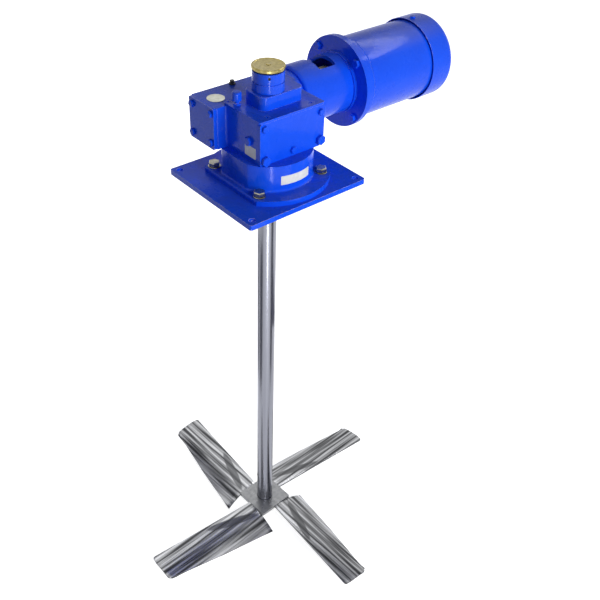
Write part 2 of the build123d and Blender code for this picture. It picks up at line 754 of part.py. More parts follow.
def worm_wheel():
    half = WHEEL_W / 2
    throat = AXIS_Y - WHEEL_TIP
    blank = ring(WHEEL_MAX_R, QUILL_R + SEAT, -half, half)
    blank -= revolve(Pos(AXIS_Y, 0, 0) * Rot(90, 0, 0) * Circle(throat), Axis.Z)
    step = (WHEEL_W + 2 * PAST) / (GAP_LEVELS - 1)
    sections = [gap_section(-half - PAST + i * step) for i in range(GAP_LEVELS)]
    gap = loft(sections, ruled=True)
    blank -= [Rot(0, 0, i * 360 / TEETH) * gap for i in range(TEETH)]
    side = KEY_W / 2 + SEAT
    blank -= slab(0, QUILL_R + KEY_RISE + SEAT, -side, side, -half - PAST, half + PAST)
    return Pos(0, 0, AXIS_Z) * blank


# Quill, keys, collar and cap


def quill():
    body = ring(QUILL_R, SHAFT_R + SEAT, QUILL_BOTTOM, QUILL_TOP)
    half = WHEEL_W / 2 + SEAT
    side = KEY_W / 2 + SEAT
    body -= slab(QUILL_R - KEY_SINK - SEAT, QUILL_R + PAST, -side, side, AXIS_Z - half, AXIS_Z + half)
    body -= slab(-SHAFT_R - KEY_RISE, 0, -side, side, SHAFT_KEY_Z - SEAT, SHAFT_KEY_Z + SHAFT_KEY_L + SEAT)
    return body


def wheel_key():
    half = WHEEL_W / 2
    side = KEY_W / 2
    return slab(QUILL_R - KEY_SINK, QUILL_R + KEY_RISE, -side, side, AXIS_Z - half, AXIS_Z + half)


def shaft_key():
    return slab(-SHAFT_R - KEY_RISE + SEAT, -SHAFT_R + SHAFT_KEY_SINK, -KEY_W / 2, KEY_W / 2,
                SHAFT_KEY_Z, SHAFT_KEY_Z + SHAFT_KEY_L)


def mixing_shaft():
    body = ring(SHAFT_R, 0, SHAFT_BOTTOM, COLLAR_TOP - LIFT)
    body = chamfer(body.edges().filter_by(GeomType.CIRCLE), SHAFT_CHAMFER)
    side = KEY_W / 2 + SEAT
    keyway = slab(-SHAFT_R - PAST, -SHAFT_R + SHAFT_KEY_SINK + SEAT, -side, side,
                  SHAFT_KEY_Z - SEAT, SHAFT_KEY_Z + SHAFT_KEY_L + SEAT)
    return body - keyway


def set_screw_turns():
    return [SET_SCREW_TURN + i * 360 / SET_SCREWS for i in range(SET_SCREWS)]


def collar():
    body = ring(COLLAR_R, SHAFT_R + SEAT, COLLAR_Z, COLLAR_TOP)
    body -= ring(QUILL_R + SEAT, 0, COLLAR_Z - 1, QUILL_TOP + SEAT)
    body -= ring(COLLAR_R + PAST, COLLAR_R - GROOVE_DEPTH, GROOVE_Z, GROOVE_Z + GROOVE_W)
    hole = Rot(0, 90, 0) * ring(SET_SCREW_R, 0, SHAFT_R - PAST, COLLAR_R + PAST)
    hole = Pos(0, 0, SET_SCREW_Z) * hole
    for turn in set_screw_turns():
        body -= Rot(0, 0, turn) * hole
    return body


def set_screws():
    start = SHAFT_R + SEAT
    end = COLLAR_R - SET_SCREW_IN
    socket = extrude(RegularPolygon(SET_SOCKET_R, 6), SET_SOCKET_DEPTH + PAST)
    socket = Pos(0, 0, end - SET_SOCKET_DEPTH) * socket
    screw = ring(SET_SCREW_R - SEAT, 0, start, end) - socket
    lying = Pos(0, 0, SET_SCREW_Z) * Rot(0, 90, 0) * screw
    return [Rot(0, 0, turn) * lying for turn in set_screw_turns()]


def shaft_cap():
    base = COLLAR_TOP + SEAT
    top = base + CAP_H
    outline = Polyline(
        (0, 0, base), (CAP_R - CAP_FOOT_IN, 0, base), (CAP_R, 0, base + CAP_FOOT_RISE),
        (CAP_R, 0, top - CAP_EDGE), (CAP_R - CAP_EDGE, 0, top), (CAP_R - CAP_RIM, 0, top),
        (CAP_R - CAP_RIM - CAP_DISH, 0, top - CAP_DISH), (0, 0, top - CAP_DISH), close=True,
    )
    body = revolve(make_face(outline), Axis.Z)
    return body + Pos(0, 0, top - CAP_EDGE) * extrude(Rectangle(CAP_SQUARE, CAP_SQUARE), 2 * CAP_DISH)


# Adapter and coupling


def motor_bolt_turns():
    return [45 + i * 90 for i in range(4)]


def adapter_screw_places():
    out = ADAPTER_SCREW
    return [(AXIS_Y + sy * out, AXIS_Z + sz * out) for sy in (-1, 1) for sz in (-1, 1)]


def motor_adapter():
    neck_end = ADAPTER_X + NECK_L
    drum = ring(ADAPTER_R, 0, neck_end, FLANGE_X + PAST)
    drum = fillet(drum.edges().filter_by(GeomType.CIRCLE).sort_by(Axis.Z)[:1], ADAPTER_SHOULDER)
    base = RectangleRounded(ADAPTER_BASE, ADAPTER_BASE, ADAPTER_BASE_CORNER)
    body = Pos(0, 0, ADAPTER_X) * extrude(base, ADAPTER_END)
    body += ring(NECK_R, 0, ADAPTER_X + PAST, neck_end + PAST) + drum
    body += ring(FLANGE_R, 0, FLANGE_X, MOTOR_X)
    body += ring(ADAPTER_R + LIP, 0, FLANGE_X - LIP_L, FLANGE_X + PAST)
    body -= ring(NECK_R - NECK_WALL, 0, ADAPTER_X + ADAPTER_END, MOTOR_X)
    body -= ring(ADAPTER_R - ADAPTER_WALL, 0, neck_end + ADAPTER_WALL, MOTOR_X + PAST)
    body -= ring(WORM_SHAFT_R + RUN, 0, ADAPTER_X - PAST, ADAPTER_X + ADAPTER_END + PAST)
    hole = Pos(MOTOR_BOLT_CIRCLE, 0, 0) * ring(MOTOR_BOLT_R + SEAT, 0, FLANGE_X - PAST, MOTOR_X + PAST)
    for turn in motor_bolt_turns():
        body -= Rot(0, 0, turn) * hole
    body = on_motor_axis(body) - adapter_window()
    for y, z in adapter_screw_places():
        body -= Pos(ADAPTER_X, y, z) * Rot(0, 90, 0) * ring(SMALL_R + SEAT, 0, -PAST, ADAPTER_END + PAST)
    return body


def adapter_window():
    start = COUPLING_X - WINDOW_L / 2
    low = AXIS_Z + JAW_R + WINDOW_RISE
    return rounded_slab(start, start + WINDOW_L, AXIS_Y - WINDOW_NEAR, AXIS_Y + WINDOW_FAR,
                        low, AXIS_Z + ADAPTER_R + PAST, CASE_CORNER)


def adapter_screws():
    screw = Rot(0, 90, 0) * hex_screw(SMALL_HEX, SMALL_HEAD, SMALL_R, ADAPTER_END + SCREW_IN - 2 * PAST)
    return [Pos(ADAPTER_X + ADAPTER_END, y, z) * screw for y, z in adapter_screw_places()]


def motor_bolts():
    bolt = hex_screw(MOTOR_BOLT_HEX, MOTOR_BOLT_HEAD, MOTOR_BOLT_R, FLANGE_T + BELL_FACE_T)
    place = Pos(MOTOR_BOLT_CIRCLE, 0, FLANGE_X) * Rot(180, 0, 0) * bolt
    return [on_motor_axis(Rot(0, 0, turn) * place) for turn in motor_bolt_turns()]


def jaws(turn, slack=0.0):
    """Three jaws between the two hubs, as sectors of a ring."""
    low = COUPLING_X - JAW_DEPTH / 2 - slack
    high = COUPLING_X + JAW_DEPTH / 2 + slack
    half = JAW_HALF_TURN + degrees(slack / JAW_R)
    along = 2 * JAW_R * cos(radians(half))
    aside = 2 * JAW_R * sin(radians(half))
    sector = make_face(Polyline((0, 0), (along, -aside), (along, aside), close=True))
    wedge = Pos(0, 0, low) * extrude(sector, high - low)
    pieces = [Rot(0, 0, turn + i * 360 / JAW_COUNT) * wedge for i in range(JAW_COUNT)]
    band = ring(JAW_R + slack, JAW_INNER - slack, low, high)
    return band & (pieces[0] + pieces[1:])


def drive_hub():
    start = COUPLING_X - JAW_DEPTH / 2 - JAW_L
    body = ring(JAW_R, NOSE_R + SEAT, start, COUPLING_X - JAW_DEPTH / 2) + jaws(0)
    return on_motor_axis(body)


def motor_hub():
    end = COUPLING_X + JAW_DEPTH / 2 + JAW_L
    body = ring(JAW_R, MOTOR_SHAFT_R + SEAT, COUPLING_X + JAW_DEPTH / 2, end) + jaws(180 / JAW_COUNT)
    return on_motor_axis(body)


def coupling_spider():
    low = COUPLING_X - JAW_DEPTH / 2 + SEAT
    high = COUPLING_X + JAW_DEPTH / 2 - SEAT
    body = ring(JAW_R - PAST, SPIDER_BORE, low, high) - jaws(0, SEAT) - jaws(180 / JAW_COUNT, SEAT)
    return on_motor_axis(body)


# Motor


def motor_front_bell():
    hub = MOTOR_RACE_R + HUB_WALL
    fit = FRAME_R - FRAME_WALL - SEAT
    taper = Pos(0, 0, FRAME_X - BELL_TAPER) * Cone(BELL_R, FRAME_R, BELL_TAPER, align=ON_BASE)
    body = ring(BELL_R, 0, MOTOR_X, FRAME_X - BELL_TAPER) + taper
    body += ring(hub, 0, MOTOR_X, FRONT_RACE_X + MOTOR_RACE_T)
    body -= ring(BELL_POCKET_R, hub, MOTOR_X + BELL_FACE_T, FRAME_X + PAST)
    body += ring(fit, fit - HUB_WALL, FRAME_X - PAST, FRAME_X + BELL_SPIGOT)
    body -= ring(MOTOR_RACE_R + SEAT, 0, FRONT_RACE_X, FRAME_X + MOTOR_RACE_T)
    body -= ring(MOTOR_SHAFT_R + RUN, 0, MOTOR_X - PAST, FRAME_X)
    hole = Pos(MOTOR_BOLT_CIRCLE, 0, MOTOR_X) * ring(MOTOR_BOLT_R + SEAT, 0, -PAST, BELL_FACE_T + PAST)
    for turn in motor_bolt_turns():
        body -= Rot(0, 0, turn) * hole
    return on_motor_axis(body)


def box_entry():
    """The wire hole through the frame and the back of the conduit box."""
    hole = ring(BOX_WIRE_R, 0, FRAME_R - BOX_ROOM, FRAME_R + BOX_ROOM)
    return Pos(BOX_MIDDLE_X, AXIS_Y, BOX_MIDDLE_Z) * Rot(-90, 0, 0) * hole


def motor_frame():
    return on_motor_axis(ring(FRAME_R, FRAME_R - FRAME_WALL, FRAME_X, FRAME_END)) - box_entry()


def motor_rear_bell():
    fit = FRAME_R - FRAME_WALL - SEAT
    body = ring(fit, 0, REAR_BELL_X, FRAME_END)
    body -= ring(fit - BELL_FACE_T, MOTOR_RACE_R + HUB_WALL, REAR_BELL_X - PAST, FRAME_END - HUB_WALL)
    body -= ring(MOTOR_RACE_R + SEAT, 0, REAR_BELL_X - PAST, REAR_RACE_X + MOTOR_RACE_T)
    body -= ring(MOTOR_SHAFT_R + RUN, 0, REAR_BELL_X - PAST, FRAME_END + PAST)
    side = LUG_W / 2
    inside = ring(FAN_COVER_R - FAN_COVER_WALL - SEAT, 0, REAR_BELL_X, FAN_COVER_END)
    for turn in (0, 180):
        lug = slab(fit - LUG_T, fit - PAST, -side, side, FRAME_END - PAST, LUG_END)
        lug += slab(fit - 2 * PAST, FAN_COVER_R, -side, side, FRAME_END + SEAT, LUG_END)
        body += Rot(0, 0, turn) * (lug & inside)
        hole = Rot(0, 90, 0) * ring(COVER_SCREW_R + SEAT, 0, fit - BELL_FACE_T, FAN_COVER_R)
        body -= Rot(0, 0, turn) * Pos(0, 0, FRAME_END + side) * hole
    return on_motor_axis(body)


def fan_cover_screws():
    screw = hex_screw(COVER_SCREW_HEX, COVER_SCREW_HEAD, COVER_SCREW_R, BELL_FACE_T)
    place = Pos(FAN_COVER_R, 0, FRAME_END + LUG_W / 2) * Rot(0, 90, 0) * screw
    return [on_motor_axis(Rot(0, 0, turn) * place) for turn in (0, 180)]


def motor_fan_cover():
    body = ring(FAN_COVER_R, 0, FAN_COVER_X, FAN_COVER_END)
    body = fillet(body.edges().filter_by(GeomType.CIRCLE).sort_by(Axis.Z)[-1:], FAN_COVER_ROUND)
    inner = ring(FAN_COVER_R - FAN_COVER_WALL, 0, FAN_COVER_X - PAST, FAN_COVER_END - FAN_COVER_WALL)
    end = inner.edges().filter_by(GeomType.CIRCLE).sort_by(Axis.Z)[-1:]
    body -= fillet(end, FAN_COVER_ROUND - FAN_COVER_WALL)
    slot = Pos(VENT_MIDDLE, 0, FAN_COVER_END) * Box(VENT_L, VENT_W, 4 * FAN_COVER_WALL)
    body -= [Rot(0, 0, i * 360 / VENTS) * slot for i in range(VENTS)]
    inside = FAN_COVER_R - 2 * FAN_COVER_WALL
    hole = Rot(0, 90, 0) * ring(COVER_SCREW_R + SEAT, 0, inside, FAN_COVER_R + PAST)
    for turn in (0, 180):
        body -= Rot(0, 0, turn) * Pos(0, 0, FRAME_END + LUG_W / 2) * hole
    return on_motor_axis(body)


def stator_core():
    body = ring(FRAME_R - FRAME_WALL - SEAT, STATOR_BORE, STATOR_X, STATOR_X + STATOR_L)
    slot = slab(STATOR_BORE - 2 * PAST, STATOR_BORE + SLOT_DEPTH, -SLOT_W / 2, SLOT_W / 2,
                STATOR_X - PAST, STATOR_X + STATOR_L + PAST)
    body -= [Rot(0, 0, i * 360 / SLOTS) * slot for i in range(SLOTS)]
    return on_motor_axis(body)


def stator_coils():
    inner = STATOR_BORE + COIL_IN
    outer = STATOR_BORE + SLOT_DEPTH - LIFT
    side = SLOT_W / 2 - LIFT
    end = STATOR_X + STATOR_L
    coil = ring(outer, inner, SEAT, COIL_REACH)
    coil = chamfer(coil.edges().filter_by(GeomType.CIRCLE), COIL_CHAMFER)
    body = Pos(0, 0, end) * coil + Pos(0, 0, STATOR_X - COIL_REACH - SEAT) * coil
    bar = slab(inner + PAST, outer - PAST, -side, side, STATOR_X - COIL_CHAMFER, end + COIL_CHAMFER)
    bars = [Rot(0, 0, i * 360 / SLOTS) * bar for i in range(SLOTS)]
    return on_motor_axis(body + bars)


def motor_shaft():
    body = ring(MOTOR_SHAFT_R, 0, MOTOR_SHAFT_START, MOTOR_SHAFT_END)
    body += ring(MOTOR_SHAFT_R + ROTOR_STEP, 0, FRONT_RACE_X + MOTOR_RACE_T + SEAT, REAR_RACE_X - SEAT)
    return on_motor_axis(body)


def rotor_core():
    radius = STATOR_BORE - AIR_GAP
    body = ring(radius, MOTOR_SHAFT_R + ROTOR_STEP + SEAT, STATOR_X, STATOR_X + STATOR_L)
    outer = radius - END_RING_IN
    body += ring(outer, outer - END_RING_W, STATOR_X - END_RING_L, STATOR_X + STATOR_L + END_RING_L)
    return on_motor_axis(body)


def motor_outer_races():
    front = outer_ring(MOTOR_RACE_R, FRONT_RACE_X, FRONT_RACE_X + MOTOR_RACE_T)
    rear = outer_ring(MOTOR_RACE_R, REAR_RACE_X, REAR_RACE_X + MOTOR_RACE_T)
    return [on_motor_axis(front), on_motor_axis(rear)]


def motor_rollers():
    width = MOTOR_RACE_T - RUN
    starts = (FRONT_RACE_X + RUN, REAR_RACE_X)
    rings = [roller_ring(MOTOR_SHAFT_R, MOTOR_RACE_R, x, x + width, MOTOR_ROLLERS) for x in starts]
    return [on_motor_axis(made) for made in rings]


def motor_fan():
    body = ring(FAN_HUB_R, MOTOR_SHAFT_R + SEAT, FAN_X, FAN_X + FAN_HUB_L)
    body += ring(FAN_R, FAN_HUB_R - PAST, FAN_X, FAN_X + FAN_T)
    vane = slab(FAN_HUB_R - PAST, FAN_R - FAN_T, -FAN_T / 2, FAN_T / 2,
                FAN_X + FAN_T / 2, FAN_X + FAN_BLADE_H)
    body += [Rot(0, 0, i * 360 / FAN_BLADES) * vane for i in range(FAN_BLADES)]
    return on_motor_axis(body)


def conduit_box():
    x0 = BOX_MIDDLE_X - BOX_X / 2
    z0 = BOX_MIDDLE_Z - BOX_Z / 2
    y1 = BOX_FACE_Y + BOX_Y
    floor = BOX_FACE_Y + BOX_BACK_T
    wall = BOX_WALL
    body = slab(x0, x0 + BOX_X, BOX_FACE_Y - BOX_SADDLE, y1, z0, z0 + BOX_Z)
    body = fillet(body.edges().filter_by(Axis.Y), BOX_CORNER)
    body -= slab(x0 + wall, x0 + BOX_X - wall, floor, y1 + PAST, z0 + wall, z0 + BOX_Z - wall)
    body -= on_motor_axis(ring(FRAME_R + SEAT, 0, x0 - PAST, x0 + BOX_X + PAST)) + box_entry()
    body -= Pos(BOX_MIDDLE_X, (floor + y1) / 2, z0) * ring(BOX_ENTRY_R, 0, -PAST, wall + PAST)
    for x, z in box_places():
        body += Pos(x, floor - PAST, z) * Rot(-90, 0, 0) * ring(BOX_POST_R, 0, 0, y1 - floor + PAST)
        body -= Pos(x, y1, z) * Rot(-90, 0, 0) * ring(BOX_SCREW_R + SEAT, 0, -BOX_SCREW_L, PAST)
    return body


def box_places():
    out_x = BOX_X / 2 - BOX_SCREW_IN
    out_z = BOX_Z / 2 - BOX_SCREW_IN
    return [(BOX_MIDDLE_X + sx * out_x, BOX_MIDDLE_Z + sz * out_z) for sx in (-1, 1) for sz in (-1, 1)]


def conduit_cover():
    y0 = BOX_FACE_Y + BOX_Y
    body = slab(BOX_MIDDLE_X - BOX_X / 2, BOX_MIDDLE_X + BOX_X / 2, y0, y0 + BOX_COVER_T,
                BOX_MIDDLE_Z - BOX_Z / 2, BOX_MIDDLE_Z + BOX_Z / 2)
    body = fillet(body.edges().filter_by(Axis.Y), BOX_CORNER)
    for x, z in box_places():
        body -= Pos(x, y0, z) * Rot(-90, 0, 0) * ring(BOX_SCREW_R + SEAT, 0, -PAST, BOX_COVER_T + PAST)
    return body


def conduit_screws():
    y0 = BOX_FACE_Y + BOX_Y + BOX_COVER_T
    screw = ring(BOX_SCREW_HEAD_R, 0, 0, BOX_SCREW_HEAD)
    screw += ring(BOX_SCREW_R, 0, -BOX_SCREW_L, BOX_SCREW_HEAD / 2)
    return [Pos(x, y0, z) * Rot(-90, 0, 0) * screw for x, z in box_places()]


# Impeller


def blade_section(reach, facets, lead):
    """A bent strip seen along the blade: facets of a width and a slope, from its leading edge."""
    y, z = lead
    top = [(y, z)]
    for width, slope in facets:
        y += width * cos(radians(slope))
        z -= width * sin(radians(slope))
        top.append((y, z))
    upper = [(reach, a, b) for a, b in top]
    lower = [(reach, a, b - BLADE_T) for a, b in reversed(top)]
    return make_face(Polyline(upper + lower, close=True))


def impeller_blade():
    """A tapered blade folded along creases, flat at its lug and pitched towards its tip."""
    middle = HUB_HALF + CREASE_SPAN * (BLADE_TIP - HUB_HALF)
    top = HUB_Z + HUB_T
    root = blade_section(HUB_HALF + SEAT, [(30, 4), (20, 16), (19, 26), (21.5, 36)], (ROOT_LEAD, top))
    lead = ROOT_LEAD + CREASE_SPAN * (TIP_LEAD - ROOT_LEAD)
    fold = blade_section(middle, [(1.5, 6), (27, 9), (25, 14), (24.5, 22)], (lead, top))
    tip = blade_section(BLADE_TIP, [(1.5, 2), (21, 4), (21, 8), (20, 14)], (TIP_LEAD, top))
    return loft([root, fold], ruled=True) + loft([fold, tip], ruled=True)


def blade(index):
    return Rot(0, 0, HUB_TURN + 180 + index * 360 / BLADES) * impeller_blade()


def impeller_hub():
    plate = Rot(0, 0, HUB_TURN) * extrude(RectangleRounded(2 * HUB_HALF, 2 * HUB_HALF, 4), HUB_T)
    body = Pos(0, 0, HUB_Z) * plate + ring(SLEEVE_R, 0, HUB_Z - SLEEVE_H, HUB_Z)
    return body - ring(SHAFT_R + SEAT, 0, HUB_Z - SLEEVE_H - 1, HUB_Z + HUB_T + 1)


PIECES = {
    "mounting_plate": mounting_plate,
    "pedestal": pedestal,
    "flange_bolts": flange_bolts,
    "flange_washers": flange_washers,
    "pedestal_screws": pedestal_screws,
    "gear_case": gear_case,
    "front_cover": front_cover,
    "front_cover_screws": front_cover_screws,
    "front_cover_bolts": front_cover_bolts,
    "oil_level_plug": oil_level_plug,
    "side_plug": side_plug,
    "end_cover": end_cover,
    "end_cover_screws": end_cover_screws,
    "top_cover": top_cover,
    "top_cover_screws": top_cover_screws,
    "breather": breather,
    "vent_plug": vent_plug,
    "data_disc": data_disc,
    "lower_seal": lower_seal,
    "upper_seal": upper_seal,
    "quill_outer_races": quill_outer_races,
    "quill_rollers": quill_rollers,
    "worm_shaft": lambda: on_motor_axis(worm_shaft()),
    "worm_outer_races": worm_outer_races,
    "worm_rollers": worm_rollers,
    "worm_seal": worm_seal,
    "worm_wheel": worm_wheel,
    "quill": quill,
    "wheel_key": wheel_key,
    "shaft_key": shaft_key,
    "mixing_shaft": mixing_shaft,
    "shaft_collar": collar,
    "set_screws": set_screws,
    "shaft_cap": shaft_cap,
    "motor_adapter": motor_adapter,
    "adapter_screws": adapter_screws,
    "motor_bolts": motor_bolts,
    "drive_hub": drive_hub,
    "motor_hub": motor_hub,
    "coupling_spider": coupling_spider,
    "motor_front_bell": motor_front_bell,
    "motor_frame": motor_frame,
    "motor_rear_bell": motor_rear_bell,
    "motor_fan_cover": motor_fan_cover,
    "fan_cover_screws": fan_cover_screws,
    "stator_core": stator_core,
    "stator_coils": stator_coils,
    "motor_shaft": motor_shaft,
    "rotor_core": rotor_core,
    "motor_outer_races": motor_outer_races,
    "motor_rollers": motor_rollers,
    "motor_fan": motor_fan,
    "conduit_box": conduit_box,
    "conduit_cover": conduit_cover,
    "conduit_screws": conduit_screws,
    "impeller_hub": impeller_hub,
}

os.makedirs("parts", exist_ok=True)
for name, make in PIECES.items():
    made = make()
    if isinstance(made, (list, tuple)):
        made = Compound(children=list(made))
    export_step(made, f"parts/{name}.step")
for index in range(BLADES):
    export_step(blade(index), f"parts/impeller_blade_{index + 1}.step")
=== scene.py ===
import json
from math import cos, pi, radians, sin, sqrt
import bmesh
import bpy
from mathutils import Matrix, Vector

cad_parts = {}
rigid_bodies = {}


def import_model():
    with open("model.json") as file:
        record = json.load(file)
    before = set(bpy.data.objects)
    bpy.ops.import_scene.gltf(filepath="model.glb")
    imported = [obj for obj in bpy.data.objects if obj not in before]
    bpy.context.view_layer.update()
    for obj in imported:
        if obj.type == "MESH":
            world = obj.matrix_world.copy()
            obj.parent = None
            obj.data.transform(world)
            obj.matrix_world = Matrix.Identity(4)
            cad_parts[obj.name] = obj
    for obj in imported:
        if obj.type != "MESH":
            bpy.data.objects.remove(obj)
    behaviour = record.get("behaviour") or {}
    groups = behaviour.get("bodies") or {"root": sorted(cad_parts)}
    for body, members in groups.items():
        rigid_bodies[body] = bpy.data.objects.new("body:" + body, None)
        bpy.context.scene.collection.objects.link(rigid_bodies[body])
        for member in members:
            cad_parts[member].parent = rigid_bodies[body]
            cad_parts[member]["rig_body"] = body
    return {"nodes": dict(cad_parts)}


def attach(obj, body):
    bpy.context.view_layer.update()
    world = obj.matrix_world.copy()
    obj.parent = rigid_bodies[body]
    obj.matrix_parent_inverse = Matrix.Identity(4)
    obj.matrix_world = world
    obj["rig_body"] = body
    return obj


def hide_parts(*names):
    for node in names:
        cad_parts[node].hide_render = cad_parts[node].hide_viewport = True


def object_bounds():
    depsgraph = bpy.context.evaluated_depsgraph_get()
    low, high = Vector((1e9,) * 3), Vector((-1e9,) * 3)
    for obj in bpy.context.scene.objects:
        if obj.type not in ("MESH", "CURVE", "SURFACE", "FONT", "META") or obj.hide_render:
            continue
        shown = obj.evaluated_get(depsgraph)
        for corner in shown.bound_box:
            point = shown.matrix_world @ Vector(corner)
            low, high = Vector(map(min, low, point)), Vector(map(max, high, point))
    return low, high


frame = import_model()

cad_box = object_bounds()
nodes = frame["nodes"]

# The mixer's own sizes are in millimetres, as in the part's source; the studio round it is in metres
MM = 0.001
# Points of a CAD mesh that are nearer than this, in metres, are one point
SAME_POINT = 0.00001
# Triangles of a CAD mesh that turn by less than this are one face
ONE_FACE = radians(0.5)

# Impeller. A facet is its width and its slope in degrees, counted from the leading edge
HUB_HALF = 42.1
HUB_TOP = -858
HUB_TURN = 183
BLADES = 4
BLADE_T = 3.4
BLADE_TIP = 303
ROOT_LEAD = -6
TIP_LEAD = -31
CREASE_SPAN = 0.48
ROOT_FACETS = ((30, 4), (20, 16), (19, 26), (21.5, 36))
FOLD_FACETS = ((1.5, 6), (27, 9), (25, 14), (24.5, 22))
TIP_FACETS = ((1.5, 2), (21, 4), (21, 8), (20, 14))
FOLD_BEND = 7
TIP_ROUND = 7
CUT_EASING = 0.5
BEND_STEPS = 4
INNER_STEPS = 12
OUTER_STEPS = 14
# Points on the last flat, closer together towards the trailing edge so that the tip's corner comes out round
LAST_FLAT = (0.4, 0.65, 0.8, 0.9, 0.96, 1.0)

# A painted dark reflection: a lens-shaped patch beside each blade's fold, on the blade's own map, in metres
DARK_REFLECTION_AT = (0.108, 0.010, 0)
DARK_REFLECTION_TURN = radians(-19)
DARK_REFLECTION_SIZE = (0.062, 0.009, 1)

# Screw heads: the crown as a share of the head's height, and the rest as shares of the width across flats
CROWN_SHARE = 0.16
CROWN_TAPER = 0.86
SEAT_SHARE = 0.47
HEAD_EDGE_SHARE = 0.02
SEAT_T = 0.5
SEAT_SIDES = 24
SHANK_SIDES = 16

# Labels, and where they stick
LABEL_ROUND = 1.5
LABEL_FILM = 0.3
LABEL_STEPS = 28
BARREL_R = 79.5
BARREL_LABEL_Z = 39.5
CASE_LEFT = 60
CASE_LABEL_Y = -29.5
CASE_LABEL_Z = 85

# A face keeps dust and painted shade when its normal's height is above this
LEVEL_FROM = 0.7
# A Wave texture at scale 1 repeats after this length
WAVE_PERIOD = pi / 10


def linear(colour):
    """A hex colour as a screen shows it, as the linear numbers the shader wants."""
    parts = [int(colour[i:i + 2], 16) / 255 for i in (1, 3, 5)]
    return [c / 12.92 if c <= 0.04045 else ((c + 0.055) / 1.055) ** 2.4 for c in parts] + [1.0]


def per_mm(size):
    """The texture scale at which one feature measures this many millimetres."""
    return 1000.0 / size


def add(tree, kind, inputs=None, **settings):
    """Adds a node with its settings; each input takes a value or the output that feeds it."""
    made = tree.nodes.new(kind)
    for name, value in settings.items():
        setattr(made, name, value)
    for key, value in (inputs or {}).items():
        if isinstance(value, bpy.types.NodeSocket):
            tree.links.new(value, made.inputs[key])
        else:
            made.inputs[key].default_value = value
    return made


def feed(shader, **outputs):
    """Links each output to the shader's input of that name."""
    for key, output in outputs.items():
        shader.id_data.links.new(output, shader.inputs[key.replace("_", " ")])


def new_material(name, **constants):
    """A new material with constants on its shader's own sockets, with its tree and its shader."""
    material = bpy.data.materials.new(name)
    material.use_nodes = True
    shader = material.node_tree.nodes["Principled BSDF"]
    for key, value in constants.items():
        shader.inputs[key.replace("_", " ")].default_value = value
    return material, material.node_tree, shader


def finish(name, slot, **constants):
    """A new material for one real finish, marked with the record's slot that it belongs to."""
    material, tree, shader = new_material(name, **constants)
    material["slot"] = slot
    return material, tree, shader


# Finishes

def gloss_enamel(name, lump, depth):
    """Two-pack enamel sprayed over metal: wet gloss with a fine orange peel, and dust with painted shade on
    what lies level.

    The lumps of the bare metal below are given by their width and depth in millimetres.
    """
    material, tree, shader = finish(name, "blue_paint", Metallic=0.0, Roughness=0.28, Specular_IOR_Level=0.1,
                                    Coat_Weight=0.17, Coat_Roughness=0.06)
    place = add(tree, "ShaderNodeTexCoord").outputs
    # The blue deepens a little in clouds about 70 mm wide, where the spray gun's passes overlap
    cloud = add(tree, "ShaderNodeTexNoise", {"Vector": place["Object"], "Scale": per_mm(70), "Detail": 3.0})
    paint = add(tree, "ShaderNodeMix", {0: cloud.outputs["Fac"], 6: linear("#0B4AE2"), 7: linear("#1259F8")},
                data_type="RGBA")
    # Dust lies in patches about 24 mm wide on level faces and takes away the gloss. Its dark grey-blue is
    # also painted shade, which makes level faces darker and greyer
    facing = add(tree, "ShaderNodeSeparateXYZ", {0: place["Normal"]})
    level = add(tree, "ShaderNodeMapRange", {"Value": facing.outputs["Z"], "From Min": LEVEL_FROM,
                                             "From Max": 1.0, "To Min": 0.0, "To Max": 0.55})
    patch = add(tree, "ShaderNodeTexNoise", {"Vector": place["Object"], "Scale": per_mm(24), "Detail": 4.0})
    dust_and_painted_shade = add(tree, "ShaderNodeMath", {0: level.outputs[0], 1: patch.outputs["Fac"]}, operation="MULTIPLY")
    tone = add(tree, "ShaderNodeMix", {0: dust_and_painted_shade.outputs[0], 6: paint.outputs[2], 7: linear("#3C4468")},
               data_type="RGBA")
    sheen = add(tree, "ShaderNodeMapRange", {"Value": patch.outputs["Fac"], "To Min": 0.2, "To Max": 0.36})
    clear = add(tree, "ShaderNodeMapRange", {"Value": facing.outputs["Z"], "From Min": LEVEL_FROM,
                                             "From Max": 1.0, "To Min": 0.17, "To Max": 0.05})
    # Orange peel at its real width of about 2 mm, over the metal's own lumps
    peel = add(tree, "ShaderNodeTexNoise", {"Vector": place["Object"], "Scale": per_mm(2.2), "Detail": 1.0})
    skin = add(tree, "ShaderNodeBump", {"Height": peel.outputs["Fac"], "Distance": 0.02 * MM})
    wave = add(tree, "ShaderNodeTexNoise", {"Vector": place["Object"], "Scale": per_mm(lump), "Detail": 2.0})
    body = add(tree, "ShaderNodeBump", {"Height": wave.outputs["Fac"], "Distance": depth * MM,
                                        "Normal": skin.outputs[0]})
    feed(shader, Base_Color=tone.outputs[2], Roughness=sheen.outputs[0], Coat_Weight=clear.outputs[0],
         Normal=body.outputs[0], Coat_Normal=body.outputs[0])
    return material


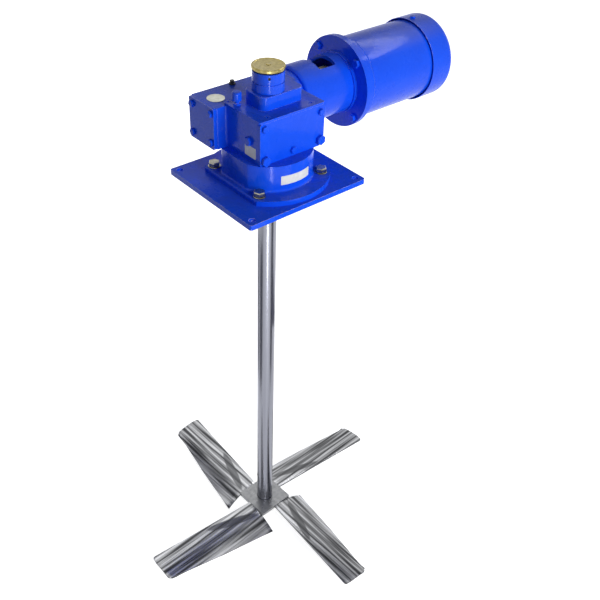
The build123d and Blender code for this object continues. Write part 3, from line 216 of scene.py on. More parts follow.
def rubbed_edge_with_painted_highlight():
    """Enamel on the castings' edges: thin on top, where handling and dust leave a pale broken line. The pale
    line on the upper edges is also a painted highlight.
    """
    material, tree, shader = finish("Gloss blue enamel rubbed along edges with painted highlight", "blue_paint", Metallic=0.0,
                                    Roughness=0.3, Specular_IOR_Level=0.3, Coat_Weight=0.4,
                                    Coat_Roughness=0.1)
    place = add(tree, "ShaderNodeTexCoord").outputs
    facing = add(tree, "ShaderNodeSeparateXYZ", {0: place["Normal"]})
    upper = add(tree, "ShaderNodeMapRange", {"Value": facing.outputs["Z"], "From Min": 0.15, "From Max": 0.6})
    # Flecks 7 mm long, coarser than real chips of 1 to 3 mm so that the line looks broken
    broken = add(tree, "ShaderNodeTexNoise", {"Vector": place["Object"], "Scale": per_mm(7), "Detail": 5.0})
    flecks = add(tree, "ShaderNodeMapRange", {"Value": broken.outputs["Fac"], "From Min": 0.36,
                                              "From Max": 0.54})
    # Pale flecks on edges that face up: rubbed paint, and a painted highlight
    rubbed = add(tree, "ShaderNodeMath", {0: upper.outputs[0], 1: flecks.outputs[0]}, operation="MULTIPLY")
    tone = add(tree, "ShaderNodeMix", {0: rubbed.outputs[0], 6: linear("#2563F4"), 7: linear("#D6CBE2")},
               data_type="RGBA")
    sheen = add(tree, "ShaderNodeMapRange", {"Value": flecks.outputs[0], "To Min": 0.24, "To Max": 0.45})
    feed(shader, Base_Color=tone.outputs[2], Roughness=sheen.outputs[0])
    return material


def polished_shaft():
    """Stainless bar polished along its length: drawn lines that pull reflections into upright streaks, and
    broad dark and pale bands that are painted reflections.

    Real polishing lines are about 0.1 mm apart; these are 2.5 mm, as coarse as they need to be to show.
    """
    material, tree, shader = finish("Stainless bar polished lengthwise", "polished_stainless", Metallic=1.0,
                                    Roughness=0.2)
    place = add(tree, "ShaderNodeTexCoord").outputs
    # Drawn out along the shaft, about 80 times as long as wide
    lines = add(tree, "ShaderNodeMapping", {"Vector": place["Object"], "Scale": (1, 1, 0.012)})
    drawn = add(tree, "ShaderNodeTexNoise", {"Vector": lines.outputs[0], "Scale": per_mm(2.5), "Detail": 4.0})
    # Painted reflections: broad upright bands 14 mm wide, from dark grey to pale
    painted_reflection_bands = add(tree, "ShaderNodeTexNoise", {"Vector": lines.outputs[0], "Scale": per_mm(14), "Detail": 2.0})
    steel = add(tree, "ShaderNodeMix", {0: painted_reflection_bands.outputs["Fac"], 6: linear("#4A4A4F"), 7: linear("#B6B8C4")},
                data_type="RGBA")
    rough = add(tree, "ShaderNodeMapRange", {"Value": drawn.outputs["Fac"], "To Min": 0.1, "To Max": 0.34})
    scratch = add(tree, "ShaderNodeBump", {"Height": drawn.outputs["Fac"], "Distance": 0.02 * MM})
    feed(shader, Base_Color=steel.outputs[2], Roughness=rough.outputs[0], Normal=scratch.outputs[0])
    return material


def polished_sheet():
    """Stainless sheet polished along the blade: long streaks from hub to tip, some bright and some dull,
    which are painted reflections.

    Real polishing lines are about 0.1 mm apart; these are 2 mm, so that they show. The bright and dull bands,
    9 mm wide, are painted reflections.
    """
    material, tree, shader = finish("Stainless sheet polished lengthwise", "polished_stainless", Metallic=1.0,
                                    Roughness=0.24)
    place = add(tree, "ShaderNodeUVMap")
    # Drawn out from hub to tip, about 30 times as long as wide
    lines = add(tree, "ShaderNodeMapping", {"Vector": place.outputs[0], "Scale": (0.03, 1, 1)})
    drawn = add(tree, "ShaderNodeTexNoise", {"Vector": lines.outputs[0], "Scale": per_mm(2), "Detail": 4.0})
    # Painted reflections: bright and dull bands 9 mm wide along the blade
    painted_reflection_bands = add(tree, "ShaderNodeTexNoise", {"Vector": lines.outputs[0], "Scale": per_mm(9), "Detail": 3.0})
    band = add(tree, "ShaderNodeMapRange", {"Value": painted_reflection_bands.outputs["Fac"], "From Min": 0.4, "From Max": 0.6})
    steel = add(tree, "ShaderNodeMix", {0: band.outputs[0], 6: linear("#424345"), 7: linear("#C6C7CA")},
                data_type="RGBA")
    # A painted dark reflection: a lens-shaped patch beside the fold
    patch = add(tree, "ShaderNodeMapping", {"Vector": place.outputs[0], "Location": DARK_REFLECTION_AT,
                                            "Rotation": (0, 0, DARK_REFLECTION_TURN), "Scale": DARK_REFLECTION_SIZE},
                vector_type="TEXTURE")
    away = add(tree, "ShaderNodeVectorMath", {0: patch.outputs[0]}, operation="LENGTH")
    painted_dark_reflection = add(tree, "ShaderNodeMapRange", {"Value": away.outputs["Value"], "From Min": 0.9,
                                              "From Max": 1.06, "To Min": 0.75, "To Max": 0.0})
    steel_with_dark_reflection = add(tree, "ShaderNodeMix", {0: painted_dark_reflection.outputs[0], 6: steel.outputs[2], 7: linear("#4C4D4F")},
                 data_type="RGBA")
    rough = add(tree, "ShaderNodeMapRange", {"Value": drawn.outputs["Fac"], "To Min": 0.14, "To Max": 0.36})
    scratch = add(tree, "ShaderNodeBump", {"Height": drawn.outputs["Fac"], "Distance": 0.03 * MM})
    feed(shader, Base_Color=steel_with_dark_reflection.outputs[2], Roughness=rough.outputs[0], Normal=scratch.outputs[0])
    return material


def turned_brass():
    """Cast brass with a turned face: rings from the lathe, warm highlights and a little tarnish.

    A lathe leaves rings about 0.2 mm apart; these are 3.2 mm, so that they show.
    """
    material, tree, shader = finish("Turned brass", "brass", Metallic=1.0, Roughness=0.3)
    place = add(tree, "ShaderNodeTexCoord").outputs
    rings = add(tree, "ShaderNodeTexWave", {"Vector": place["Object"], "Scale": per_mm(3.157) * WAVE_PERIOD,
                                            "Distortion": 0.4, "Detail": 1.0},
                wave_type="RINGS", rings_direction="Z")
    stain = add(tree, "ShaderNodeTexNoise", {"Vector": place["Object"], "Scale": per_mm(5), "Detail": 4.0})
    brass = add(tree, "ShaderNodeMix", {0: stain.outputs["Fac"], 6: linear("#5E5329"), 7: linear("#C4B577")},
                data_type="RGBA")
    rough = add(tree, "ShaderNodeMapRange", {"Value": stain.outputs["Fac"], "To Min": 0.4, "To Max": 0.2})
    tooling = add(tree, "ShaderNodeBump", {"Height": rings.outputs["Fac"], "Distance": 0.03 * MM})
    feed(shader, Base_Color=brass.outputs[2], Roughness=rough.outputs[0], Normal=tooling.outputs[0])
    return material


def grained(name, slot, metallic, patch, spread, dark, light, roughness, grain, depth):
    """Two tones in clouds, the dark one duller by the spread, over a grain of one size and depth."""
    material, tree, shader = finish(name, slot, Metallic=metallic, Roughness=roughness)
    place = add(tree, "ShaderNodeTexCoord").outputs
    cloud = add(tree, "ShaderNodeTexNoise", {"Vector": place["Object"], "Scale": per_mm(patch),
                                             "Detail": 3.0})
    tone = add(tree, "ShaderNodeMix", {0: cloud.outputs["Fac"], 6: linear(dark), 7: linear(light)},
               data_type="RGBA")
    rough = add(tree, "ShaderNodeMapRange", {"Value": cloud.outputs["Fac"],
                                             "To Min": roughness * (1 + spread),
                                             "To Max": roughness * (1 - spread)})
    speck = add(tree, "ShaderNodeTexNoise", {"Vector": place["Object"], "Scale": per_mm(grain),
                                             "Detail": 2.0})
    marks = add(tree, "ShaderNodeBump", {"Height": speck.outputs["Fac"], "Distance": depth * MM})
    feed(shader, Base_Color=tone.outputs[2], Roughness=rough.outputs[0], Normal=marks.outputs[0])
    return material


def bare_metal(name, slot, *look):
    """Plated or machined metal, with faint clouds of tarnish 8 mm wide."""
    return grained(name, slot, 1.0, 8, 0.3, *look)


def moulded(name, slot, *look):
    """Rubber, plastic, varnish or vinyl: no metal, and a soft sheen that varies every 6 mm."""
    return grained(name, slot, 0.0, 6, 0.2, *look)


# The numbers after the two colours are roughness, the width of the grain and its depth in millimetres.
# Grains are drawn coarser than real ones, so that they break up a highlight at this size. The winding's
# wires and the label's ripples have their real width.
FINISHES = {
    # Sand-cast skin under the paint: lumps that wobble the highlights. Real ones are about 3 mm wide;
    # these are 9 mm, so that they show
    "cast": gloss_enamel("Gloss blue enamel over cast iron", 9, 0.14),
    # Rolled sheet under the paint: long shallow waves at their real width, so reflections run straighter
    "sheet": gloss_enamel("Gloss blue enamel over rolled steel", 45, 0.06),
    # Edges rubbed pale, with a painted highlight on the upper ones
    "edge": rubbed_edge_with_painted_highlight(),
    "shaft": polished_shaft(),
    "blade": polished_sheet(),
    # Sheared and ground: dark and dull, so that a blade's thickness reads as a thin line
    "cut": bare_metal("Cut edge of stainless sheet", "polished_stainless", "#38393B", "#6C6D70",
                      0.45, 0.8, 0.04),
    # As the mill rolled it: even grey with a frosty grain
    "hub": bare_metal("Stainless plate with a mill finish", "polished_stainless", "#6A6B6D", "#A4A5A7",
                      0.3, 1.2, 0.02),
    # Barrel-plated screws: bright, yellowed in places
    "zinc": bare_metal("Bright zinc plated steel", "zinc_plate", "#77735F", "#C2C0B4", 0.24, 1.5, 0.02),
    # Plated and passivated castings: pale yellow and nearly matt
    "coupling": bare_metal("Yellow passivated steel", "zinc_plate", "#8E8A68", "#EDE8C4", 0.45, 1.5, 0.03),
    # Bearing seats and rollers: fine, even and bright
    "ground": bare_metal("Ground steel", "ground_steel", "#7C7F84", "#B5B8BC", 0.28, 0.8, 0.01),
    "brass": turned_brass(),
    # A hobbed wheel: brown gold with a soft shine
    "bronze": bare_metal("Gear bronze", "bronze", "#94672F", "#C08F4C", 0.3, 1.0, 0.02),
    # A thin stamped disc: pale and dimpled, so that it glints in spots
    "aluminium": bare_metal("Stamped bare aluminium", "bare_aluminium", "#8F917F", "#DADBD2",
                            0.34, 2.4, 0.12),
    # Stacked steel sheets under varnish: dark and dull
    "core": bare_metal("Varnished core laminations", "core_steel", "#3A3B40", "#5A5C62", 0.45, 0.7, 0.02),
    # Pressed in a mould: matt black
    "rubber": moulded("Nitrile rubber", "black_rubber", "#101012", "#1B1B1E", 0.55, 1.0, 0.02),
    # Injected: black, a little shinier than rubber
    "plastic": moulded("Moulded nylon", "black_plastic", "#141416", "#222226", 0.45, 0.9, 0.02),
    # Cast in a mould: orange and waxy
    "urethane": moulded("Moulded urethane", "orange_urethane", "#B23C08", "#D9550F", 0.42, 0.9, 0.02),
    # Wound wire dipped in varnish: brown, ribbed and glossy
    "copper": moulded("Varnished copper winding", "copper_winding", "#7A3512", "#B5602A", 0.32, 0.9, 0.15),
    # Calendered film: off-white satin with slight ripples from being pressed on by hand
    "vinyl": moulded("Blank white vinyl label", "bare_aluminium", "#D4D4CE", "#F0F0EC", 0.4, 5.0, 0.05),
}

CAD_FINISHES = {
    "cast": "pedestal gear_case front_cover end_cover top_cover motor_adapter motor_front_bell "
            "motor_rear_bell front_cover_screws front_cover_bolts oil_level_plug side_plug "
            "end_cover_screws top_cover_screws breather adapter_screws motor_bolts shaft_collar",
    "sheet": "mounting_plate motor_frame motor_fan_cover fan_cover_screws conduit_box conduit_cover "
             "conduit_screws",
    "shaft": "mixing_shaft",
    "blade": "impeller_blade_1 impeller_blade_2 impeller_blade_3 impeller_blade_4",
    "hub": "impeller_hub",
    "zinc": "flange_bolts flange_washers pedestal_screws",
    "coupling": "drive_hub motor_hub",
    "ground": "quill worm_shaft wheel_key shaft_key quill_outer_races quill_rollers worm_outer_races "
              "worm_rollers motor_shaft motor_outer_races motor_rollers",
    "brass": "shaft_cap",
    "bronze": "worm_wheel",
    "aluminium": "data_disc",
    "core": "stator_core rotor_core",
    "rubber": "lower_seal upper_seal worm_seal vent_plug set_screws",
    "plastic": "motor_fan",
    "urethane": "coupling_spider",
    "copper": "stator_coils",
}


def paint_cad():
    """Gives every CAD node its finish, also those that a piece replaces later."""
    for kind, names in CAD_FINISHES.items():
        for name in names.split():
            mesh = nodes[name].data
            mesh.materials.clear()
            mesh.materials.append(FINISHES[kind])


# Pieces

def in_scene(name, data):
    """A new object in the scene, at the origin."""
    made = bpy.data.objects.new(name, data)
    bpy.context.scene.collection.objects.link(made)
    return made


def shown(name, mesh, body, kind):
    """Puts a finished mesh in the scene as a piece that rides on a body."""
    piece = in_scene(name, mesh)
    mesh.materials.clear()
    mesh.materials.append(FINISHES[kind])
    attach(piece, body)
    return piece


def mesh_from(name, shape):
    """Turns a finished bmesh into a mesh, and frees it."""
    mesh = bpy.data.meshes.new(name)
    shape.to_mesh(mesh)
    shape.free()
    return mesh


def merged(node):
    """A copy of a CAD node with its loose triangles joined at their corners."""
    shape = bmesh.new()
    shape.from_mesh(nodes[node].data)
    bmesh.ops.remove_doubles(shape, verts=shape.verts, dist=SAME_POINT)
    return shape


def settled(maker):
    """The plain mesh that a maker object's modifiers give; the maker is removed."""
    graph = bpy.context.evaluated_depsgraph_get()
    mesh = bpy.data.meshes.new_from_object(maker.evaluated_get(graph))
    bpy.data.objects.remove(maker)
    return mesh


def smooth_mesh(mesh, angle=35):
    """Smooth faces that stay sharp where they meet at more than the angle."""
    for face in mesh.polygons:
        face.use_smooth = True
    mesh.set_sharp_from_angle(angle=radians(angle))


def round_edges(piece, edge, segments=2, angle=35):
    """Rounds a piece's sharp edges by a radius in millimetres."""
    bevel = piece.modifiers.new("Rounded edges", "BEVEL")
    bevel.width = edge * MM
    bevel.segments = segments
    bevel.limit_method = "ANGLE"
    bevel.angle_limit = radians(angle)
    bevel.harden_normals = True
    bevel.miter_outer = "MITER_ARC"
    return bevel


# Each CAD piece that gets rounded edges, their radius in millimetres and its finish
ROUNDED = (
    ("mounting_plate", 0.8, "sheet"),
    ("pedestal", 1.2, "cast"),
    ("gear_case", 1.6, "cast"),
    ("front_cover", 1.0, "cast"),
    ("end_cover", 1.4, "cast"),
    ("top_cover", 1.0, "cast"),
    ("motor_adapter", 1.0, "cast"),
    ("breather", 0.5, "cast"),
    ("motor_front_bell", 0.8, "cast"),
    ("motor_frame", 0.5, "sheet"),
    ("motor_fan_cover", 0.4, "sheet"),
    ("conduit_box", 0.6, "sheet"),
    ("conduit_cover", 0.8, "sheet"),
    ("shaft_collar", 0.6, "cast"),
    ("flange_washers", 0.4, "zinc"),
    ("shaft_cap", 0.5, "brass"),
    ("impeller_hub", 0.8, "hub"),
)
# Pieces that keep their small faces, because one large face round the slots shades badly
SLOTTED = ("motor_fan_cover",)


def rounded_copy(node, edge, kind):
    """A CAD piece with its edges rounded as the real one's are; where it is painted, they are rubbed and
    carry a painted highlight.
    """
    shape = merged(node)
    if node not in SLOTTED:
        bmesh.ops.dissolve_limit(shape, angle_limit=ONE_FACE, verts=shape.verts, edges=shape.edges)
    mesh = mesh_from(node + "_shape", shape)
    smooth_mesh(mesh)
    piece = shown(node + "_skin", mesh, nodes[node]["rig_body"], kind)
    bevel = round_edges(piece, edge)
    if kind in ("cast", "sheet"):
        mesh.materials.append(FINISHES["edge"])
        bevel.material = 1
    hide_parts(node)


# Geometry Nodes

def new_tree(name, wanted):
    """A geometry tree with these named inputs, and the outputs that give them."""
    tree = bpy.data.node_groups.new(name, "GeometryNodeTree")
    tree.interface.new_socket(name="Geometry", in_out="INPUT", socket_type="NodeSocketGeometry")
    for label, kind in wanted.items():
        tree.interface.new_socket(name=label, in_out="INPUT", socket_type="NodeSocket" + kind)
    tree.interface.new_socket(name="Geometry", in_out="OUTPUT", socket_type="NodeSocketGeometry")
    return tree, add(tree, "NodeGroupInput").outputs


def grown(tree, mesh, values):
    """Runs a tree on a mesh with values for its named inputs, and returns a plain mesh."""
    maker = in_scene("Maker", mesh)
    modifier = maker.modifiers.new("Maker", "NODES")
    modifier.node_group = tree
    for item in tree.interface.items_tree:
        if item.in_out == "INPUT" and item.name in values:
            modifier[item.identifier] = values[item.name]
    return settled(maker)


def hex_screw_tree():
    """Hexagon screws on points: a chamfered head on its washer face, leaning the way each point says."""
    tree, given = new_tree("Hexagon screws", {
        "Across flats": "Float", "Head": "Float", "Crown": "Float", "Washer face": "Float",
        "Shank radius": "Float", "Shank": "Float", "Seed": "Int", "Material": "Material"})
    # The head: a hexagon block whose top face is pulled up by the crown and drawn in
    radius = add(tree, "ShaderNodeMath", {0: given["Across flats"], 1: 1 / sqrt(3)}, operation="MULTIPLY")
    block = add(tree, "ShaderNodeMath", {0: given["Head"], 1: given["Crown"]}, operation="SUBTRACT")
    prism = add(tree, "GeometryNodeMeshCylinder", {"Vertices": 6, "Radius": radius.outputs[0],
                                                   "Depth": block.outputs[0]})
    crown = add(tree, "GeometryNodeExtrudeMesh", {
        "Mesh": prism.outputs["Mesh"], "Selection": prism.outputs["Top"], "Offset Scale": given["Crown"]},
        mode="FACES")
    head = add(tree, "GeometryNodeScaleElements", {
        "Geometry": crown.outputs["Mesh"], "Selection": crown.outputs["Top"], "Scale": CROWN_TAPER},
        domain="FACE")
    middle = add(tree, "ShaderNodeMath", {0: block.outputs[0], 1: 0.5, 2: given["Washer face"]},
                 operation="MULTIPLY_ADD")
    lift = add(tree, "ShaderNodeCombineXYZ", {"Z": middle.outputs[0]})
    raised = add(tree, "GeometryNodeTransform", {"Geometry": head.outputs[0], "Translation": lift.outputs[0]})
    # The round washer face under it
    inner = add(tree, "ShaderNodeMath", {0: given["Across flats"], 1: SEAT_SHARE}, operation="MULTIPLY")
    face = add(tree, "GeometryNodeMeshCylinder", {"Vertices": SEAT_SIDES, "Radius": inner.outputs[0],
                                                  "Depth": given["Washer face"]})
    half = add(tree, "ShaderNodeMath", {0: given["Washer face"], 1: 0.5}, operation="MULTIPLY")
    up = add(tree, "ShaderNodeCombineXYZ", {"Z": half.outputs[0]})
    seat = add(tree, "GeometryNodeTransform", {"Geometry": face.outputs["Mesh"],
                                               "Translation": up.outputs[0]})
    # The shank below
    rod = add(tree, "GeometryNodeMeshCylinder", {"Vertices": SHANK_SIDES, "Radius": given["Shank radius"],
                                                 "Depth": given["Shank"]})
    below = add(tree, "ShaderNodeMath", {0: given["Shank"], 1: -0.5}, operation="MULTIPLY")
    down = add(tree, "ShaderNodeCombineXYZ", {"Z": below.outputs[0]})
    shank = add(tree, "GeometryNodeTransform", {"Geometry": rod.outputs["Mesh"],
                                                "Translation": down.outputs[0]})
    screw = add(tree, "GeometryNodeJoinGeometry")
    for part in (raised, seat, shank):
        tree.links.new(part.outputs[0], screw.inputs[0])
    # One on each point, turned by chance as a spanner leaves them
    lean = add(tree, "GeometryNodeInputNamedAttribute", {"Name": "lean"}, data_type="FLOAT_VECTOR")
    aimed = add(tree, "FunctionNodeAlignRotationToVector", {"Vector": lean.outputs[0]}, axis="Z")
    chance = add(tree, "FunctionNodeRandomValue", {2: 0.0, 3: pi / 3, "Seed": given["Seed"]},
                 data_type="FLOAT")
    spin = add(tree, "FunctionNodeAxisAngleToRotation", {"Axis": (0, 0, 1), "Angle": chance.outputs[1]})
    turned = add(tree, "FunctionNodeRotateRotation", {0: aimed.outputs[0], 1: spin.outputs[0]},
                 rotation_space="LOCAL")
    placed = add(tree, "GeometryNodeInstanceOnPoints", {
        "Points": given["Geometry"], "Instance": screw.outputs[0], "Rotation": turned.outputs[0]})
    real = add(tree, "GeometryNodeRealizeInstances", {0: placed.outputs[0]})
    dressed = add(tree, "GeometryNodeSetMaterial", {"Geometry": real.outputs[0],
                                                    "Material": given["Material"]})
    add(tree, "NodeGroupOutput", {0: dressed.outputs[0]})
    return tree


def blade_tree():
    """One blade set round the hub a number of times, with its cut edges in their own finish."""
    tree, given = new_tree("Blades round the hub", {
        "Count": "Int", "First turn": "Float", "Material": "Material", "Edge material": "Material"})
    points = add(tree, "GeometryNodePoints", {"Count": given["Count"]})
    step = add(tree, "ShaderNodeMath", {0: 2 * pi, 1: given["Count"]}, operation="DIVIDE")
    index = add(tree, "GeometryNodeInputIndex")
    angle = add(tree, "ShaderNodeMath", {0: index.outputs[0], 1: step.outputs[0], 2: given["First turn"]},
                operation="MULTIPLY_ADD")
    turn = add(tree, "FunctionNodeAxisAngleToRotation", {"Axis": (0, 0, 1), "Angle": angle.outputs[0]})
    placed = add(tree, "GeometryNodeInstanceOnPoints", {
        "Points": points.outputs[0], "Instance": given["Geometry"], "Rotation": turn.outputs[0]})
    real = add(tree, "GeometryNodeRealizeInstances", {0: placed.outputs[0]})
    dressed = add(tree, "GeometryNodeSetMaterial", {"Geometry": real.outputs[0],
                                                    "Material": given["Material"]})
    rim = add(tree, "GeometryNodeInputNamedAttribute", {"Name": "rim"}, data_type="BOOLEAN")
    edged = add(tree, "GeometryNodeSetMaterial", {"Geometry": dressed.outputs[0], "Selection": rim.outputs[0],
                                                  "Material": given["Edge material"]})
    add(tree, "NodeGroupOutput", {0: edged.outputs[0]})
    return tree


# Screws: the CAD node, the way its heads face, width across flats, head, shank radius and finish.
# Their order gives each its seed.
SCREWS = (
    ("flange_bolts", (0, 0, 1), 18, 8, 6, "zinc"),
    ("front_cover_screws", (0, -1, 0), 11, 4.5, 3.5, "cast"),
    ("front_cover_bolts", (0, -1, 0), 16, 7, 3.5, "cast"),
    ("oil_level_plug", (0, -1, 0), 11, 4.5, 5, "cast"),
    ("side_plug", (-1, 0, 0), 14, 5.5, 5, "cast"),
    ("end_cover_screws", (-1, 0, 0), 11, 4.5, 3.5, "cast"),
    ("motor_bolts", (-1, 0, 0), 14.3, 6, 4.7, "cast"),
)


def solids_of(node):
    """The boxes of the separate solids in a CAD node, as pairs of corners."""
    shape = merged(node)
    left = set(shape.verts)
    boxes = []
    while left:
        waiting = [left.pop()]
        island = []
        while waiting:
            vert = waiting.pop()
            island.append(vert.co.copy())
            for edge in vert.link_edges:
                other = edge.other_vert(vert)
                if other in left:
                    left.discard(other)
                    waiting.append(other)
        boxes.append([Vector([pick(co[i] for co in island) for i in range(3)]) for pick in (min, max)])
    shape.free()
    return boxes


def hex_screws(tree, node, lean, across, head, radius, kind, seed):
    """Replaces a CAD node's screws with detailed ones at the same places."""
    axis = [abs(v) for v in lean].index(1)
    boxes = solids_of(node)
    places = []
    for low, high in boxes:
        spot = (low + high) / 2
        outer = high[axis] if lean[axis] > 0 else low[axis]
        spot[axis] = outer - lean[axis] * head * MM
        places.append(spot)
    low, high = boxes[0]
    shank = high[axis] - low[axis] - head * MM
    mesh = bpy.data.meshes.new(node + "_places")
    mesh.from_pydata(places, [], [])
    leans = mesh.attributes.new("lean", "FLOAT_VECTOR", "POINT")
    for item in leans.data:
        item.vector = lean
    result = grown(tree, mesh, {
        "Across flats": across * MM, "Head": (head - SEAT_T) * MM, "Crown": head * CROWN_SHARE * MM,
        "Washer face": SEAT_T * MM, "Shank radius": radius * MM, "Shank": shank, "Seed": seed,
        "Material": FINISHES[kind]})
    smooth_mesh(result, angle=30)
    piece = shown(node + "_detailed", result, nodes[node]["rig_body"], kind)
    round_edges(piece, across * HEAD_EDGE_SHARE, segments=1, angle=40)
    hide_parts(node)


# Impeller blades

def folded_line(facets, lead):
    """Points across a folded strip, from its leading edge: flats joined by bends."""
    corners = [Vector(lead)]
    for width, slope in facets:
        corners.append(corners[-1] + width * Vector((cos(radians(slope)), -sin(radians(slope)))))
    line = [corners[0]]
    for near, here, far in zip(corners, corners[1:], corners[2:]):
        reach = min(FOLD_BEND, 0.45 * (here - near).length, 0.45 * (far - here).length)
        start = here + (near - here).normalized() * reach
        end = here + (far - here).normalized() * reach
        for step in range(BEND_STEPS + 1):
            t = step / BEND_STEPS
            line.append((1 - t) ** 2 * start + 2 * t * (1 - t) * here + t * t * end)
    bent = line[-1]
    line += [bent.lerp(corners[-1], share) for share in LAST_FLAT]
    return line


def blade_mesh():
    """One blade's upper face: folded sections at the hub, the crease and the tip, and straight lines between.

    The sections are flatter towards the tip, and the tip's two corners are round.
    """
    fold_lead = ROOT_LEAD + CREASE_SPAN * (TIP_LEAD - ROOT_LEAD)
    fold_reach = HUB_HALF + CREASE_SPAN * (BLADE_TIP - HUB_HALF)
    root = folded_line(ROOT_FACETS, (ROOT_LEAD, HUB_TOP))
    fold = folded_line(FOLD_FACETS, (fold_lead, HUB_TOP))
    tip = folded_line(TIP_FACETS, (TIP_LEAD, HUB_TOP))
    shape = bmesh.new()
    chart = shape.loops.layers.uv.new("UVMap")
    columns = []
    for a, b, c in zip(root, fold, tip):
        aside = min((c - tip[0]).length, (tip[-1] - c).length)
        short = TIP_ROUND - sqrt(TIP_ROUND ** 2 - max(0, TIP_ROUND - aside) ** 2)
        column = []
        for step in range(INNER_STEPS + 1):
            t = step / INNER_STEPS
            column.append((HUB_HALF + t * (fold_reach - HUB_HALF), *a.lerp(b, t)))
        for step in range(1, OUTER_STEPS + 1):
            t = step / OUTER_STEPS
            column.append((fold_reach + t * (BLADE_TIP - short - fold_reach), *b.lerp(c, t)))
        columns.append([shape.verts.new([v * MM for v in p]) for p in column])
    for left, right in zip(columns, columns[1:]):
        for i in range(len(left) - 1):
            face = shape.faces.new((left[i], left[i + 1], right[i + 1], right[i]))
            for loop in face.loops:
                loop[chart].uv = (loop.vert.co.x, loop.vert.co.y)
    return mesh_from("Blade", shape)


def thick_blade():
    """The folded strip given its sheet thickness downwards, with its cut edges eased and marked as rim."""
    strip = blade_mesh()
    for kind in ("blade", "cut"):
        strip.materials.append(FINISHES[kind])
    maker = in_scene("Blade maker", strip)
    solid = maker.modifiers.new("Sheet", "SOLIDIFY")
    solid.thickness = BLADE_T * MM
    solid.offset = -1.0
    solid.material_offset_rim = 1
    bevel = maker.modifiers.new("Eased edges", "BEVEL")
    bevel.width = CUT_EASING * MM
    bevel.segments = 2
    bevel.limit_method = "ANGLE"
    bevel.angle_limit = radians(60)
    mesh = settled(maker)
    rim = mesh.attributes.new("rim", "BOOLEAN", "FACE")
    for face, item in zip(mesh.polygons, rim.data):
        item.value = face.material_index == 1
    return mesh


def impeller_blades():
    """The four blades as one piece that turns with the shaft."""
    mesh = grown(blade_tree(), thick_blade(), {
        "Count": BLADES, "First turn": radians(HUB_TURN), "Material": FINISHES["blade"],
        "Edge material": FINISHES["cut"]})
    smooth_mesh(mesh, angle=40)
    piece = in_scene("impeller_blades_folded", mesh)
    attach(piece, "mixer")
    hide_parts(*[f"impeller_blade_{i + 1}" for i in range(BLADES)])


# Labels

def blank_label(name, width, height, on_surface):
    """A thin blank sticker with round corners; on_surface bends it onto what it sticks to."""
    columns = []
    shape = bmesh.new()
    for i in range(LABEL_STEPS + 1):
        across = -width / 2 + width * (0.5 - 0.5 * cos(pi * i / LABEL_STEPS))
        edge = max(0, LABEL_ROUND - (width / 2 - abs(across)))
        tall = height / 2 - LABEL_ROUND + sqrt(max(0, LABEL_ROUND ** 2 - edge ** 2))
        columns.append([shape.verts.new(on_surface(across, side * tall, LABEL_FILM / 2)) for side in (-1, 1)])
    for left, right in zip(columns, columns[1:]):
        shape.faces.new((left[0], right[0], right[1], left[1]))
    bmesh.ops.recalc_face_normals(shape, faces=shape.faces)
    piece = shown(name, mesh_from(name, shape), "housing", "vinyl")
    film = piece.modifiers.new("Film", "SOLIDIFY")
    film.thickness = LABEL_FILM * MM
    film.offset = 0.0


def on_barrel(across, up, out):
    """A point on the pedestal's barrel, round from its front, at the label's height."""
    turn = across / BARREL_R - pi / 2
    radius = BARREL_R + out
    return [v * MM for v in (radius * cos(turn), radius * sin(turn), BARREL_LABEL_Z + up)]


def on_left_face(across, up, out):
    """A point on the left face of the gear case, below the plug."""
    return [v * MM for v in (-CASE_LEFT - out, CASE_LABEL_Y - across, CASE_LABEL_Z + up)]


# Camera, light and floor, in metres

CAMERA_AT = (-0.8233, -1.0278, 0.7532)
CAMERA_YAW = 0.8453
CAMERA_PITCH = 0.6604
CAMERA_ROLL = -0.0394
CAMERA_LENS = 51.0
CAMERA_SENSOR = 36.0

# Each lamp's place, aim, width, height and watts, and the rays that don't see it
LAMPS = (
    # Lights the faces towards the camera's right, and stays out of polished steel, where it would clip
    ("Key softbox", (0.4, -3.0, 0.9), (0.1, 0, -0.2), 1.6, 2.4, 96, "visible_glossy"),
    # Lights the motor's far side
    ("Back softbox", (0.9, 3.0, 0.4), (0.1, 0, -0.2), 2.0, 1.6, 46, "visible_glossy"),
    # The upright highlight along the shaft
    ("Strip softbox", (-0.45, -0.8, -0.35), (0, 0, -0.35), 0.1, 1.0, 4.5, "visible_diffuse"),
    # The pale streak along the motor and its adapter
    ("Overhead strip softbox", (1.35, 0.11, 1.27), (0.33, 0.07, 0.17), 1.5, 0.12, 6, "visible_diffuse"),
    # Soft fill from the left, and from above behind the mixer
    ("Side softbox", (-2.8, -0.2, 0.8), (0, 0, -0.2), 0.7, 2.4, 3, None),
    ("Top softbox", (0.6, 1.8, 2.4), (0.1, 0, 0), 1.8, 1.0, 4, None),
)
ROOM_GREY = "#565A62"

# Each grey card's place, aim, width, height and colour. The polished steel mirrors them as its dark streaks
CARDS = (
    ("Back flag", (-0.2, 0.42, -0.64), (0, 0, -0.64), 0.26, 0.48, "#A0A0A6"),
    ("Side flag", (0.24, -0.4, -0.5), (0, 0, -0.5), 0.22, 0.76, "#A4A4AC"),
    ("Ridge flag", (0.24, -0.16, -0.46), (0, -0.25, -0.88), 0.34, 0.34, "#C4C4CA"),
    ("Front flag", (0.4, -0.52, -0.26), (-0.08, -0.07, -0.88), 0.36, 0.36, "#77777B"),
    ("Left flag", (-0.4, 0.12, -0.64), (0, 0, -0.64), 0.3, 0.48, "#A0A0A6"),
)

# The floor lies just below the impeller. Near the mixer it glows less than white, so a shadow still shows
FLOOR_GAP = 0.001
FLOOR_SIDE = 28.0
FLOOR_NEAR = 1.3
FLOOR_FAR = 3.0
NEAR_GLOW = 0.85


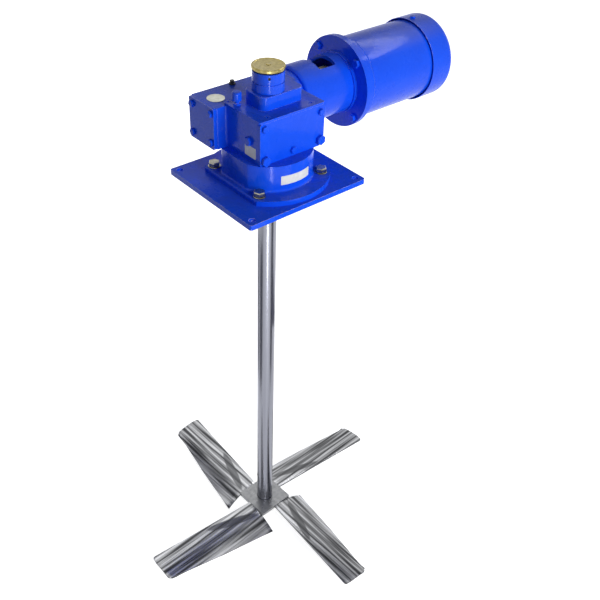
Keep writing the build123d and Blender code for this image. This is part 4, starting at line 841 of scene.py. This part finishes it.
def set_camera():
    """The photograph's viewing angle."""
    ahead = Vector((cos(CAMERA_YAW) * cos(CAMERA_PITCH), sin(CAMERA_YAW) * cos(CAMERA_PITCH),
                    -sin(CAMERA_PITCH)))
    right = Vector((sin(CAMERA_YAW), -cos(CAMERA_YAW), 0))
    down = ahead.cross(right)
    level = cos(CAMERA_ROLL) * right + sin(CAMERA_ROLL) * down
    below = -sin(CAMERA_ROLL) * right + cos(CAMERA_ROLL) * down
    data = bpy.data.cameras.new("Camera")
    data.lens = CAMERA_LENS
    data.sensor_width = CAMERA_SENSOR
    camera = in_scene("Camera", data)
    turn = Matrix((level, -below, -ahead)).transposed().to_4x4()
    camera.matrix_world = Matrix.Translation(CAMERA_AT) @ turn
    bpy.context.scene.camera = camera


def set_aim(thing, place, aim):
    """Puts a lamp or a card at a place and turns its front to a point."""
    thing.location = place
    thing.rotation_euler = (Vector(aim) - Vector(place)).to_track_quat("-Z", "Y").to_euler()


def softbox(name, place, aim, width, height, watts, hidden):
    """A rectangular studio lamp that faces a point, and that one kind of ray may not see."""
    data = bpy.data.lights.new(name, "AREA")
    data.shape = "RECTANGLE"
    data.size = width
    data.size_y = height
    data.energy = watts
    lamp = in_scene(name, data)
    set_aim(lamp, place, aim)
    lamp.visible_camera = False
    if hidden:
        setattr(lamp, hidden, False)


def backdrop_rays(tree):
    """1 for rays from the camera, off gloss or through glass, which see the white backdrop, else 0."""
    path = add(tree, "ShaderNodeLightPath")
    seen = add(tree, "ShaderNodeMath", {0: path.outputs["Is Camera Ray"], 1: path.outputs["Is Glossy Ray"]},
               operation="ADD")
    clear = add(tree, "ShaderNodeMath", {0: seen.outputs[0], 1: path.outputs["Is Transmission Ray"]},
                operation="ADD", use_clamp=True)
    return clear.outputs[0]


def set_room():
    """A grey room that lights the mixer evenly, and looks white."""
    world = bpy.data.worlds.new("Studio")
    bpy.context.scene.world = world
    world.use_nodes = True
    tree = world.node_tree
    clear = backdrop_rays(tree)
    room = tree.nodes["Background"]
    room.inputs["Color"].default_value = linear(ROOM_GREY)
    room.inputs["Strength"].default_value = 1.0
    white = add(tree, "ShaderNodeBackground", {"Color": linear("#FFFFFF"), "Strength": 1.0})
    mix = add(tree, "ShaderNodeMixShader", {0: clear, 1: room.outputs[0], 2: white.outputs[0]})
    tree.links.new(mix.outputs[0], tree.nodes["World Output"].inputs["Surface"])


def flat_sheet(name, width, height, z=0.0):
    """A single level rectangle about the Z axis."""
    x, y = width / 2, height / 2
    mesh = bpy.data.meshes.new(name)
    mesh.from_pydata([(-x, -y, z), (x, -y, z), (x, y, z), (-x, y, z)], [], [(0, 1, 2, 3)])
    return in_scene(name, mesh)


def grey_card(name, place, aim, width, height, colour):
    """A matt card that only reflections see, so that polished steel has something dark beside it."""
    card = flat_sheet(name, width, height)
    set_aim(card, place, aim)
    card.visible_camera = False
    card.visible_diffuse = False
    card.visible_shadow = False
    material, _, _ = new_material(name + " card", Base_Color=linear(colour), Roughness=1.0,
                                  Specular_IOR_Level=0.0)
    card.data.materials.append(material)


def set_floor():
    """A pale floor that goes to white in the camera and keeps the object's shadow."""
    floor = flat_sheet("Floor", FLOOR_SIDE, FLOOR_SIDE, cad_box[0][2] - FLOOR_GAP)
    material, tree, shader = new_material(
        "Pale floor", Base_Color=linear("#E4E4E4"), Roughness=0.9, Specular_IOR_Level=0.0,
        Emission_Color=linear("#FFFFFF"))
    place = add(tree, "ShaderNodeTexCoord").outputs
    away = add(tree, "ShaderNodeVectorMath", {0: place["Object"]}, operation="LENGTH")
    far = add(tree, "ShaderNodeMapRange", {"Value": away.outputs["Value"], "From Min": FLOOR_NEAR,
                                           "From Max": FLOOR_FAR, "To Min": NEAR_GLOW, "To Max": 1.0})
    lift = add(tree, "ShaderNodeMath", {0: backdrop_rays(tree), 1: far.outputs[0]}, operation="MULTIPLY")
    feed(shader, Emission_Strength=lift.outputs[0])
    floor.data.materials.append(material)


paint_cad()
for row in ROUNDED:
    rounded_copy(*row)
screw_tree = hex_screw_tree()
for seed, row in enumerate(SCREWS):
    hex_screws(screw_tree, *row, seed)
impeller_blades()
blank_label("pedestal_label", 61, 16.5, on_barrel)
blank_label("case_label", 29, 19.5, on_left_face)

set_camera()
for row in LAMPS:
    softbox(*row)
set_room()
for row in CARDS:
    grey_card(*row)
set_floor()
bpy.context.scene.view_settings.view_transform = "Standard"
bpy.context.view_layer.update()
